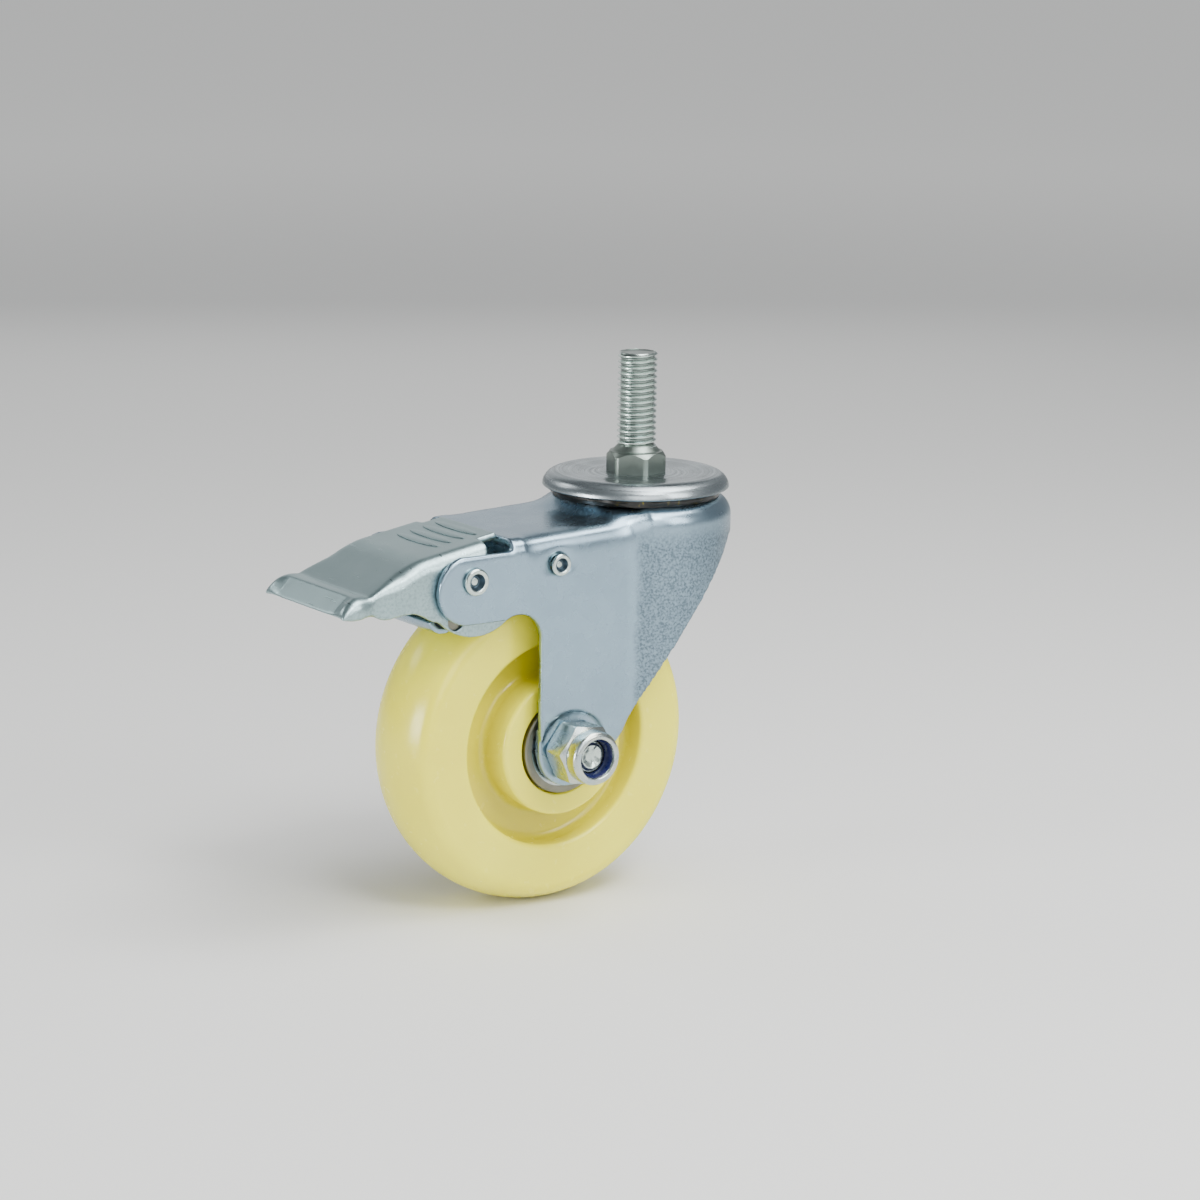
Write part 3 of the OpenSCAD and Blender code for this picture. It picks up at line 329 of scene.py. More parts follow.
def moulded_nylon(name, light, deep, web):
    """Moulded natural nylon: a waxy cream plastic that lets light in a few millimetres and shines softly.
    The wheel's recessed web is tinted a deeper yellow than its rim and hub: painted shade of light bounced
    inside the recess."""
    material = blank_material(name)
    tree = material.node_tree
    place = add(tree, "ShaderNodeTexCoord").outputs["Object"]
    clouds = add(tree, "ShaderNodeTexNoise", {"Vector": place, "Scale": per_mm(25), "Detail": 2.0})
    colour = add(tree, "ShaderNodeMix", {
        0: clouds.outputs["Fac"], 6: (*light, 1), 7: (*deep, 1)}, data_type="RGBA")
    centred = add(tree, "ShaderNodeMapping", {"Vector": place, "Location": -AXLE}).outputs["Vector"]
    across = add(tree, "ShaderNodeSeparateXYZ", {"Vector": centred})
    flat = add(tree, "ShaderNodeVectorMath", {0: centred, 1: (1, 0, 1)}, operation="MULTIPLY")
    reach = add(tree, "ShaderNodeVectorMath", {0: flat.outputs["Vector"]}, operation="LENGTH")
    depth = add(tree, "ShaderNodeMath", {0: across.outputs["Y"]}, operation="ABSOLUTE")
    # Painted shade: deep in the side recess and inside the rim, the nylon is tinted a deeper yellow.
    sunk = add(tree, "ShaderNodeMapRange", {
        "Value": depth.outputs["Value"], "From Min": 15 * MM, "From Max": 8 * MM, "To Min": 0.0, "To Max": 0.9})
    inside = add(tree, "ShaderNodeMapRange", {
        "Value": reach.outputs["Value"], "From Min": 33 * MM, "From Max": 31 * MM,
        "To Min": 0.0, "To Max": 1.0})
    shaded = add(tree, "ShaderNodeMath", {0: sunk.outputs["Result"], 1: inside.outputs["Result"]},
               operation="MULTIPLY")
    tint = add(tree, "ShaderNodeMix", {
        0: shaded.outputs["Value"], 6: colour.outputs[2], 7: (*web, 1)}, data_type="RGBA")
    ripple = add(tree, "ShaderNodeTexNoise", {"Vector": place, "Scale": per_mm(3), "Detail": 3.0})
    rough = add(tree, "ShaderNodeMapRange", {
        "Value": ripple.outputs["Fac"], "From Min": 0.3, "From Max": 0.7, "To Min": 0.2, "To Max": 0.28})
    bump = add(tree, "ShaderNodeBump", {"Strength": 0.1, "Distance": 0.1 * MM, "Height": ripple.outputs["Fac"]})
    skin = add(tree, "ShaderNodeBsdfPrincipled", {
        "Base Color": tint.outputs[2], "Roughness": rough.outputs["Result"], "IOR": 1.53,
        "Subsurface Weight": 0.4, "Subsurface Radius": (1.0, 1.0, 0.2), "Subsurface Scale": 4 * MM,
        "Normal": bump.outputs["Normal"]})
    add(tree, "ShaderNodeOutputMaterial", {"Surface": skin.outputs["BSDF"]})
    return material


def soft_plastic(name, colour, dark, roughness):
    """Small moulded or smeared pieces: one colour with a fine uneven sheen."""
    material = blank_material(name)
    tree = material.node_tree
    place = add(tree, "ShaderNodeTexCoord").outputs["Object"]
    uneven = add(tree, "ShaderNodeTexNoise", {"Vector": place, "Scale": per_mm(1.5), "Detail": 3.0})
    deep = add(tree, "ShaderNodeMapRange", {
        "Value": uneven.outputs["Fac"], "From Min": 0.27, "From Max": 0.38, "To Min": 0.0, "To Max": 1.0})
    tint = add(tree, "ShaderNodeMix", {
        0: deep.outputs["Result"], 6: (*colour, 1), 7: (*[c * dark for c in colour], 1)}, data_type="RGBA")
    rough = add(tree, "ShaderNodeMapRange", {
        "Value": uneven.outputs["Fac"], "From Min": 0.3, "From Max": 0.7,
        "To Min": roughness - 0.08, "To Max": roughness + 0.08})
    bump = add(tree, "ShaderNodeBump", {
        "Strength": 0.25, "Distance": 0.1 * MM, "Height": uneven.outputs["Fac"]})
    skin = add(tree, "ShaderNodeBsdfPrincipled", {
        "Base Color": tint.outputs[2], "Roughness": rough.outputs["Result"], "IOR": 1.5,
        "Normal": bump.outputs["Normal"]})
    add(tree, "ShaderNodeOutputMaterial", {"Surface": skin.outputs["BSDF"]})
    return material


def finish(name):
    """The named finish, made the first time it is asked for."""
    if name in bpy.data.materials:
        return bpy.data.materials[name]
    c = bpy.context.scene.castor_looks.colours
    if name == "Zinc pressed sheet":
        return zinc_sheet(name, c.zinc, c.zinc_shade, 0.27, DRAWN_FROM)
    if name == "Zinc spun cap":
        return spun_zinc(name, c.cap, [v * 0.62 for v in c.cap], 0.25)
    if name == "Zinc scuffed pedal":
        return scuffed_zinc(name, c.pedal, c.pedal_shade)
    if name == "Zinc turned steel":
        return turned_metal(name, c.turned, [v * 0.8 for v in c.turned], 0.24)
    if name == "Zinc rolled thread":
        # The thread's dark colour is painted shade in its grooves.
        return threaded_zinc(name, c.turned, [v * 0.28 for v in c.turned], 5.0, 5.7)
    if name == "Dull turned collar":
        return turned_metal(name, c.collar, [v * 0.8 for v in c.collar], 0.36)
    if name == "Zinc passivated nut":
        return turned_metal(name, c.passivated, c.zinc, 0.24)
    # Painted shade and painted reflection: a dark, warm base stands in for the dark surroundings and the yellow
    # wheel seen in the steel.
    if name == "Bearing steel in painted shade":
        return turned_metal(name, [v * 0.38 for v in c.passivated], [v * 0.26 for v in c.passivated], 0.4)
    # The rivet's cup gets a dark base: painted shade in the hollow.
    if name == "Rivet cup in painted shade":
        return turned_metal(name, [v * 0.5 for v in c.zinc_shade], [v * 0.25 for v in c.zinc_shade], 0.34)
    if name == "Drawn spring wire":
        return turned_metal(name, c.zinc_shade, [v * 0.4 for v in c.zinc_shade], 0.35)
    if name == "Moulded nylon":
        return moulded_nylon(name, c.nylon, c.nylon_deep, c.nylon_recess_shade)
    if name == "Dyed nylon ring":
        return soft_plastic(name, c.insert, 0.7, 0.3)
    if name == "Bearing grease":
        return soft_plastic(name, c.grease, 0.02, 0.35)
    raise KeyError(name)


def rounded_line(corners, steps=6):
    """Points of a line through (radius, height, round) corners, each turned by its own round."""
    line = []
    for i, (x, y, turn) in enumerate(corners):
        here = Vector((x, y))
        if not turn or i in (0, len(corners) - 1):
            line.append(here)
            continue
        back = (Vector(corners[i - 1][:2]) - here).normalized()
        ahead = (Vector(corners[i + 1][:2]) - here).normalized()
        half = back.angle(ahead) / 2
        centre = here + (back + ahead).normalized() * turn / math.sin(half)
        first = here + back * turn / math.tan(half) - centre
        last = here + ahead * turn / math.tan(half) - centre
        sweep = math.atan2(first.x * last.y - first.y * last.x, first.dot(last))
        for k in range(steps + 1):
            line.append(centre + Matrix.Rotation(sweep * k / steps, 2) @ first)
    return line


def arc(centre, radius, start, end, steps):
    """Points of an arc in a profile, from one angle to another in degrees."""
    angles = [math.radians(start + (end - start) * k / steps) for k in range(steps + 1)]
    return [Vector((centre[0] + radius * math.cos(a), centre[1] + radius * math.sin(a))) for a in angles]


def spun(bm, line, segments, place=Matrix.Identity(4), closed=False, radius_at=None):
    """Adds a profile turned about Z, in millimetres, to a mesh in the making.
    radius_at changes the profile's points by angle."""
    rows = []
    for p in line:
        row = []
        for k in range(segments):
            turn = 2 * math.pi * k / segments
            r, h = radius_at(p, turn) if radius_at else p
            row.append(bm.verts.new(place @ Vector((r * math.cos(turn) * MM, r * math.sin(turn) * MM, h * MM))))
        rows.append(row)
    pairs = list(zip(rows, rows[1:])) + ([(rows[-1], rows[0])] if closed else [])
    for a, b in pairs:
        for k in range(segments):
            n = (k + 1) % segments
            bm.faces.new((a[k], a[n], b[n], b[k]))


def made(name, bm, material, crease=38):
    """Turns a mesh in the making into an object with smooth faces and crisp edges."""
    bmesh.ops.remove_doubles(bm, verts=bm.verts, dist=1e-6)
    bmesh.ops.dissolve_degenerate(bm, dist=1e-7, edges=bm.edges)
    bmesh.ops.recalc_face_normals(bm, faces=bm.faces)
    mesh = bpy.data.meshes.new(name)
    bm.to_mesh(mesh)
    bm.free()
    mesh.shade_smooth()
    mesh.set_sharp_from_angle(angle=math.radians(crease))
    mesh.materials.append(material)
    piece = bpy.data.objects.new(name, mesh)
    bpy.context.scene.collection.objects.link(piece)
    return piece


def settle(piece, body, slot, *replaced):
    """Lets a piece ride on its body and stand for its CAD nodes. The slot is not used."""
    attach(piece, body)
    if replaced:
        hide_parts(*replaced)


def softened(node, name, material, voxel, rounds, zone=None, zone_rounds=0):
    """A copy of a CAD node whose sheet edges are rounded on a fine grid.
    A zone, true for some places in millimetres, is eased further, as a drawn sheet flows there."""
    mesh = NODES[node].data.copy()
    bm = bmesh.new()
    bm.from_mesh(mesh)
    bmesh.ops.remove_doubles(bm, verts=bm.verts, dist=1e-6)
    bm.to_mesh(mesh)
    bm.free()
    holder = bpy.data.objects.new(name, mesh)
    bpy.context.scene.collection.objects.link(holder)
    grid = holder.modifiers.new("Grid", "REMESH")
    grid.mode = "VOXEL"
    grid.voxel_size = voxel
    grid.use_smooth_shade = True
    ease = holder.modifiers.new("Ease", "SMOOTH")
    ease.factor = 0.5
    ease.iterations = rounds
    result = bpy.data.meshes.new_from_object(holder.evaluated_get(bpy.context.evaluated_depsgraph_get()))
    holder.modifiers.clear()
    holder.data = result
    if zone:
        bm = bmesh.new()
        bm.from_mesh(result)
        eased = [v for v in bm.verts if zone(v.co / MM)]
        for _ in range(zone_rounds):
            bmesh.ops.smooth_vert(
                bm, verts=eased, factor=0.5, use_axis_x=True, use_axis_y=True, use_axis_z=True)
        bm.to_mesh(result)
        bm.free()
    result.materials.clear()
    result.materials.append(material)
    result.shade_smooth()
    return holder


def grown(name, tree, values):
    """Runs a geometry tree once and returns its result as a plain mesh object."""
    holder = bpy.data.objects.new(name, bpy.data.meshes.new(name))
    bpy.context.scene.collection.objects.link(holder)
    modifier = holder.modifiers.new("Growth", "NODES")
    modifier.node_group = tree
    sockets = {s.name: s.identifier for s in tree.interface.items_tree if s.in_out == "INPUT"}
    for key, value in values.items():
        modifier[sockets[key]] = value
    result = bpy.data.meshes.new_from_object(holder.evaluated_get(bpy.context.evaluated_depsgraph_get()))
    holder.modifiers.clear()
    holder.data = result
    return holder


def tree_with(name, inputs):
    """A geometry tree with these named inputs and a geometry output."""
    tree = bpy.data.node_groups.new(name, "GeometryNodeTree")
    for label, kind, value in inputs:
        socket = tree.interface.new_socket(label, in_out="INPUT", socket_type=kind)
        if value is not None:
            socket.default_value = value
    tree.interface.new_socket("Geometry", in_out="OUTPUT", socket_type="NodeSocketGeometry")
    return tree, add(tree, "NodeGroupInput").outputs


def thread_tree():
    """A rolled thread: a sheet wound round the axis, whose rows follow the helix, cut off flat at both ends."""
    tree, size = tree_with("Rolled thread", [
        ("Crest radius", "NodeSocketFloat", 6 * MM), ("Depth", "NodeSocketFloat", MM),
        ("Pitch", "NodeSocketFloat", 1.75 * MM), ("Length", "NodeSocketFloat", 30 * MM),
        ("Tip", "NodeSocketFloat", 1.2 * MM), ("Around", "NodeSocketInt", 97),
        ("Turns", "NodeSocketInt", 20), ("Material", "NodeSocketMaterial", None)])
    rows = add(tree, "ShaderNodeMath", {0: size["Turns"], 1: float(THREAD_ROWS), 2: 1.0},
               operation="MULTIPLY_ADD").outputs[0]
    sheet = add(tree, "GeometryNodeMeshGrid", {
        "Size X": 1.0, "Size Y": 1.0, "Vertices X": size["Around"], "Vertices Y": rows})
    spot = add(tree, "ShaderNodeSeparateXYZ", {0: add(tree, "GeometryNodeInputPosition").outputs[0]})
    turn = add(tree, "ShaderNodeMath", {0: spot.outputs["X"], 1: 0.5}, operation="ADD").outputs[0]
    share = add(tree, "ShaderNodeMath", {0: spot.outputs["Y"], 1: 0.5}, operation="ADD").outputs[0]
    phase = add(tree, "ShaderNodeMath", {0: share, 1: size["Turns"], 2: -1.0},
                operation="MULTIPLY_ADD").outputs[0]
    wound = add(tree, "ShaderNodeMath", {0: phase, 1: turn}, operation="ADD").outputs[0]
    climb = add(tree, "ShaderNodeMath", {0: wound, 1: size["Pitch"]}, operation="MULTIPLY").outputs[0]
    below = add(tree, "ShaderNodeMath", {0: climb, 1: 0.0}, operation="LESS_THAN").outputs[0]
    above = add(tree, "ShaderNodeMath", {0: climb, 1: size["Length"]}, operation="GREATER_THAN").outputs[0]
    outside = add(tree, "ShaderNodeMath", {0: below, 1: above}, operation="ADD").outputs[0]
    trimmed = add(tree, "GeometryNodeDeleteGeometry", {
        "Geometry": sheet.outputs["Mesh"], "Selection": outside}, domain="FACE")
    raised = add(tree, "ShaderNodeMath", {0: climb, 1: 0.0}, operation="MAXIMUM").outputs[0]
    rise = add(tree, "ShaderNodeMath", {0: raised, 1: size["Length"]}, operation="MINIMUM").outputs[0]
    flank = add(tree, "ShaderNodeMath", {0: phase, 1: 0.5}, operation="PINGPONG").outputs[0]
    sunk = add(tree, "ShaderNodeMapRange", {
        "Value": flank, "From Min": 1 / THREAD_ROWS, "From Max": 5 / THREAD_ROWS,
        "To Min": 0.0, "To Max": 1.0}).outputs["Result"]
    groove = add(tree, "ShaderNodeMath", {0: sunk, 1: size["Depth"]}, operation="MULTIPLY").outputs[0]
    cut = add(tree, "ShaderNodeMath", {0: size["Crest radius"], 1: groove}, operation="SUBTRACT").outputs[0]
    past = add(tree, "ShaderNodeMath", {0: rise, 1: size["Length"]}, operation="SUBTRACT").outputs[0]
    over = add(tree, "ShaderNodeMath", {0: past, 1: size["Tip"]}, operation="ADD").outputs[0]
    bevel = add(tree, "ShaderNodeMath", {0: over, 1: 0.0}, operation="MAXIMUM").outputs[0]
    cone = add(tree, "ShaderNodeMath", {0: size["Crest radius"], 1: bevel}, operation="SUBTRACT").outputs[0]
    radius = add(tree, "ShaderNodeMath", {0: cut, 1: cone}, operation="MINIMUM").outputs[0]
    angle = add(tree, "ShaderNodeMath", {0: turn, 1: 2 * math.pi}, operation="MULTIPLY").outputs[0]
    cosine = add(tree, "ShaderNodeMath", {0: angle}, operation="COSINE").outputs[0]
    sine = add(tree, "ShaderNodeMath", {0: angle}, operation="SINE").outputs[0]
    x = add(tree, "ShaderNodeMath", {0: cosine, 1: radius}, operation="MULTIPLY").outputs[0]
    y = add(tree, "ShaderNodeMath", {0: sine, 1: radius}, operation="MULTIPLY").outputs[0]
    wrapped = add(tree, "GeometryNodeSetPosition", {
        "Geometry": trimmed.outputs["Geometry"],
        "Position": add(tree, "ShaderNodeCombineXYZ", {0: x, 1: y, 2: rise}).outputs[0]})
    joined = add(tree, "GeometryNodeMergeByDistance", {"Geometry": wrapped.outputs[0], "Distance": 1e-6})
    real = add(tree, "GeometryNodeRealizeInstances", {"Geometry": joined.outputs[0]})
    painted = add(tree, "GeometryNodeSetMaterial", {"Geometry": real.outputs[0], "Material": size["Material"]})
    add(tree, "NodeGroupOutput", {0: painted.outputs[0]})
    return tree


def rib_tree():
    """Ribs in a row on the pedal's plate: long low domes, one for each step along the slope."""
    tree, size = tree_with("Plate ribs", [
        ("Count", "NodeSocketInt", 4), ("Length", "NodeSocketFloat", 22 * MM),
        ("Height", "NodeSocketFloat", 0.4 * MM),
        ("Width", "NodeSocketFloat", 1.8 * MM), ("First", "NodeSocketVector", (0, 0, 0)),
        ("Step", "NodeSocketVector", (0, 0, 0)), ("Slope", "NodeSocketVector", (0, 0, 0)),
        ("Material", "NodeSocketMaterial", None)])
    places = add(tree, "GeometryNodeMeshLine", {
        "Count": size["Count"], "Start Location": size["First"], "Offset": size["Step"]}, mode="OFFSET")
    dome = add(tree, "GeometryNodeMeshUVSphere", {"Segments": 32, "Rings": 24, "Radius": 1.0})
    half = add(tree, "ShaderNodeMath", {0: size["Length"], 1: 0.5}, operation="MULTIPLY").outputs[0]
    side = add(tree, "ShaderNodeMath", {0: size["Width"], 1: 0.5}, operation="MULTIPLY").outputs[0]
    ribs = add(tree, "GeometryNodeInstanceOnPoints", {
        "Points": places.outputs["Mesh"], "Instance": dome.outputs["Mesh"], "Rotation": size["Slope"],
        "Scale": add(tree, "ShaderNodeCombineXYZ", {0: side, 1: half, 2: size["Height"]}).outputs[0]})
    real = add(tree, "GeometryNodeRealizeInstances", {"Geometry": ribs.outputs[0]})
    smooth = add(tree, "GeometryNodeSetShadeSmooth", {"Geometry": real.outputs[0]})
    painted = add(tree, "GeometryNodeSetMaterial", {
        "Geometry": smooth.outputs[0], "Material": size["Material"]})
    add(tree, "NodeGroupOutput", {0: painted.outputs[0]})
    return tree


def hexagon(bm, apothem, low, high, bevel, turn, place=Matrix.Identity(4), corner=1.135, slope=30):
    """Adds a hexagon with turned chamfers at both ends, as on a nut or a bolt head."""
    flat = apothem * bevel

    def edge(angle):
        around = (angle - math.radians(turn) + math.pi / 6) % (math.pi / 3) - math.pi / 6
        return min(apothem / math.cos(around), apothem * corner)

    def fall(angle):
        return max(edge(angle) - flat, 0) * math.tan(math.radians(slope))

    def at(p, angle):
        kind, h = p
        if kind == "rim":
            return edge(angle), (low + fall(angle)) if h == low else (high - fall(angle))
        return kind, h

    rows = [(0, low), (flat, low), ("rim", low), ("rim", high), (flat, high), (0, high)]
    spun(bm, rows, 144, place, radius_at=at)


class CASTOR_OT_stem(bpy.types.Operator):
    """Threaded stem, hexagon collar and the swivel pin below it"""

    bl_idname = "castor.stem"
    bl_label = "Stem"

    def execute(self, context):
        sizes = context.scene.castor_looks.sizes
        steel = finish("Zinc rolled thread")
        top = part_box("threaded_stem")[1].z
        wound = grown("wound_thread", thread_tree(), {
            "Crest radius": 5.95 * MM, "Depth": sizes.thread_depth, "Pitch": sizes.thread_pitch,
            "Length": top, "Tip": 0.5 * MM, "Around": 97, "Turns": math.ceil(top / sizes.thread_pitch) + 1,
            "Material": steel})
        bm = bmesh.new()
        bm.from_mesh(wound.data)
        bpy.data.objects.remove(wound)
        end = top / MM
        spun(bm, rounded_line([
            (0, end - 0.3, 0), (4.6, end - 0.3, 0.4), (5.2, end, 0.2), (5.5, end - 0.4, 0)]), 96)
        stem = made("stem_thread", bm, steel, 35)
        settle(stem, "head", "zinc_turned")

        bm = bmesh.new()
        collar_apothem, collar_turn = 8.15, 44
        hexagon(bm, collar_apothem, -8, 0, 0.97, collar_turn, corner=1.11, slope=52)
        spun(bm, rounded_line([(5.2, 2.3, 0), (5.9, 1.5, 0.8), (7.4, 0.02, 1.6), (7.9, 0.01, 0)]), 96)
        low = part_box("threaded_stem")[0].z / MM
        spun(bm, rounded_line([
            (7, -6.3, 0), (7, low + 2.6, 0), (10.5, low + 2.6, 0.3), (10.5, low + 1.2, 0.8),
            (7.4, low, 0.6), (5.6, low, 0.3),
            (4.4, low + 0.5, 0.5), (0, low + 0.5, 0)]), 96)
        collar = made("stem_collar", bm, finish("Dull turned collar"), 25)
        settle(collar, "head", "zinc_turned", "threaded_stem")
        return {"FINISHED"}


class CASTOR_OT_cap(bpy.types.Operator):
    """Pressed cap over the upper balls, and the grease that fills the gap below it"""

    bl_idname = "castor.cap"
    bl_label = "Cap and grease"

    def execute(self, context):
        low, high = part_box("swivel_cap")
        top, bottom, wide = high.z / MM, low.z / MM, high.x / MM
        rim, sheet, dish = 4.6, 2.5, 0.3
        crest = wide - rim
        middle = top - dish
        outer = rounded_line([
            (7.05, middle, 0), (11, middle, 4), (14, middle - 0.35, 4), (crest - 3.4, top - 0.15, 9),
            (crest, top, 0)], 10)
        outer += arc((crest, top - rim), rim, 88, 4, 24)
        inner = [Vector((wide - 0.3, bottom + 0.02)), Vector((wide - sheet, bottom + 0.02))]
        inner += arc((crest, top - rim), rim - sheet, 4, 90, 8)
        inner += [Vector((14, middle - 0.35 - sheet)), Vector((7.05, middle - sheet))]
        bm = bmesh.new()
        spun(bm, outer + inner, 160, closed=True)
        cap = made("pressed_cap", bm, finish("Zinc spun cap"), 45)
        settle(cap, "head", "zinc_pressed", "swivel_cap")

        bm = bmesh.new()
        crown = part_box("fork")[1].z / MM

        def smear(p, turn):
            around = Vector((math.cos(turn) * 5, math.sin(turn) * 5, p.y * 0.9))
            return p.x + 0.5 * noise.noise(around), p.y + 0.12 * noise.noise(around * 2.3)

        spun(bm, rounded_line([
            (22, bottom + 1.5, 0), (25.6, bottom + 0.3, 0.6), (26.0, (bottom + crown) / 2, 0.6),
            (25.4, crown - 0.25, 0.5), (22, crown - 1.0, 0)], 5), 180, radius_at=smear)
        film = made("grease_film", bm, finish("Bearing grease"), 60)
        settle(film, "fork", None)
        return {"FINISHED"}


class CASTOR_OT_fork(bpy.types.Operator):
    """Fork pressed from one sheet, with rounded edges"""

    bl_idname = "castor.fork"
    bl_label = "Fork"

    def execute(self, context):
        sizes = context.scene.castor_looks.sizes

        def drawn_bends(p):
            crown_foot = p.x < -12 and 25.5 < math.hypot(p.x, p.y) < 37 and p.z > -22
            return crown_foot or -55 < p.x < -13 and abs(p.y) > 13 and p.z > -29

        fork = softened(
            "fork", "pressed_fork", finish("Zinc pressed sheet"), sizes.sheet_voxel, 3, drawn_bends, 80)
        settle(fork, "fork", "zinc_pressed", "fork")
        return {"FINISHED"}


class CASTOR_OT_wheel(bpy.types.Operator):
    """Nylon wheel with its recessed sides, hub and crowned tread"""

    bl_idname = "castor.wheel"
    bl_label = "Wheel"

    def execute(self, context):
        sizes = context.scene.castor_looks.sizes
        place = Matrix.Translation(AXLE) @ ALONG_AXLE
        side = rounded_line([
            (10, 0, 0), (10, 11, 0), (14.03, 11, 0), (14.03, 15, 0), (14.5, 15, 0), (14.5, 17.6, 0),
            (14.9, 18, 0.15), (21, 18, 1.3),
            (20.6, 6.5, 2.4), (31.3, 6.5, 2.6), (31, 14.5, 1.3), (42.6, 14.5, 0)], 8)
        side += arc((42.6, 9.5), 5, 88, 28.36, 12) + arc((25, 0), 25, 27, 0, 18)
        line = side + [Vector((p.x, -p.y)) for p in reversed(side[1:-1])]
        bm = bmesh.new()
        spun(bm, line, sizes.wheel_segments, place, closed=True)
        wheel = made("nylon_wheel", bm, finish("Moulded nylon"), 50)
        settle(wheel, "wheel", "nylon_cream", "wheel")
        return {"FINISHED"}


class CASTOR_OT_axle(bpy.types.Operator):
    """Axle bolt, locking nut and its nylon ring"""

    bl_idname = "castor.axle"
    bl_label = "Axle bolt and nut"

    def execute(self, context):
        place = Matrix.Translation(AXLE) @ ALONG_AXLE
        low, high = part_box("axle_nut")
        seat, end = high.y / MM, low.y / MM
        bm = bmesh.new()
        hexagon(bm, NUT_APOTHEM, seat - 9, seat, 0.94, NUT_TURN, place)
        spun(bm, rounded_line([
            (7.6, seat - 8, 0), (7.9, seat - 9.2, 0.2), (8.1, seat - 9.6, 0.3), (8.1, end, 1.5),
            (5.9, end, 0.45), (5.8, end + 0.9, 0),
            (7.3, end + 0.95, 0), (7.3, end + 4.2, 0), (5.03, end + 4.2, 0)], 8), 128, place)
        nut = made("locking_nut", bm, finish("Zinc passivated nut"), 30)
        settle(nut, "fork", "zinc_yellowish", "axle_nut")

        bm = bmesh.new()
        spun(bm, rounded_line([
            (7.25, end + 0.9, 0), (5.75, end + 0.85, 0.5), (5.2, end + 2.0, 0.5), (5.05, end + 4.1, 0),
            (7.25, end + 4.1, 0)], 6),
            96, place, closed=True)
        ring = made("nut_ring", bm, finish("Dyed nylon ring"), 40)
        settle(ring, "fork", "nylon_navy", "nut_insert")

        bm = bmesh.new()
        head_low, head_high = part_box("axle_bolt")[0].y / MM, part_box("axle_bolt")[1].y / MM
        hexagon(bm, NUT_APOTHEM, head_high - 6.4, head_high, 0.94, NUT_TURN, place)

        def sheared(p, turn):
            if p.x > 3.5 or p.y > head_low + 3:
                return p
            spot = Vector((p.x * math.cos(turn), p.x * math.sin(turn), 0))
            return p.x, p.y + 0.3 * noise.noise(spot * 0.6)

        spun(bm, rounded_line([
            (0, head_low + 0.75, 0), (1.6, head_low + 0.6, 2.5), (3.1, head_low + 0.05, 0.3),
            (3.5, head_low, 0.2),
            (4.2, head_low + 0.8, 0.2), (4.6, head_low + 0.85, 0.1), (4.95, head_low + 1.3, 0.1),
            (4.95, head_high - 6.3, 0)],
            5), 96, place, radius_at=sheared)
        bolt = made("axle_bolt_visual", bm, finish("Zinc turned steel"), 30)
        settle(bolt, "fork", "zinc_turned", "axle_bolt")
        return {"FINISHED"}


class CASTOR_OT_rivets(bpy.types.Operator):
    """Rivets of the pedal and the brake lever, with dimpled heads"""

    bl_idname = "castor.rivets"
    bl_label = "Rivets"

    def execute(self, context):
        for node, pivot, shank, head in (
                ("pedal_rivet", PEDAL_PIVOT, 3.0, 4.0), ("lever_rivet", LEVER_PIVOT, 2.4, 3.3)):
            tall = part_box(node)[1].y / MM
            face = 23.5
            place = Matrix.Translation(pivot) @ ALONG_AXLE
            half = rounded_line([
                (0, face - 0.1, 0), (head * 0.26, face - 0.2, 0.3), (head * 0.4, face - 0.5, 0.2),
                (head * 0.62, tall - 0.2, 0.2), (head * 0.7, tall, 0.2),
                (head * 0.9, tall, 0.3), (head, tall - 0.4, 0.3), (head * 0.97, face + 0.3, 0.1),
                (head * 0.9, face + 0.2, 0), (head * 0.9, face - 0.02, 0), (shank, face - 0.02, 0)], 5)
            bm = bmesh.new()
            spun(bm, half + [Vector((p.x, -p.y)) for p in reversed(half)], 72, place)
            rivet = made(node + "_visual", bm, finish("Zinc turned steel"), 50)
            # The hollow cup inside each head takes the dark finish: painted shade.
            rivet.data.materials.append(finish("Rivet cup in painted shade"))
            for polygon in rivet.data.polygons:
                off = polygon.center - pivot
                if head * 0.3 < math.hypot(off.x, off.z) / MM < head * 0.63:
                    polygon.material_index = 1
            settle(rivet, "fork", "zinc_turned", node)
        return {"FINISHED"}


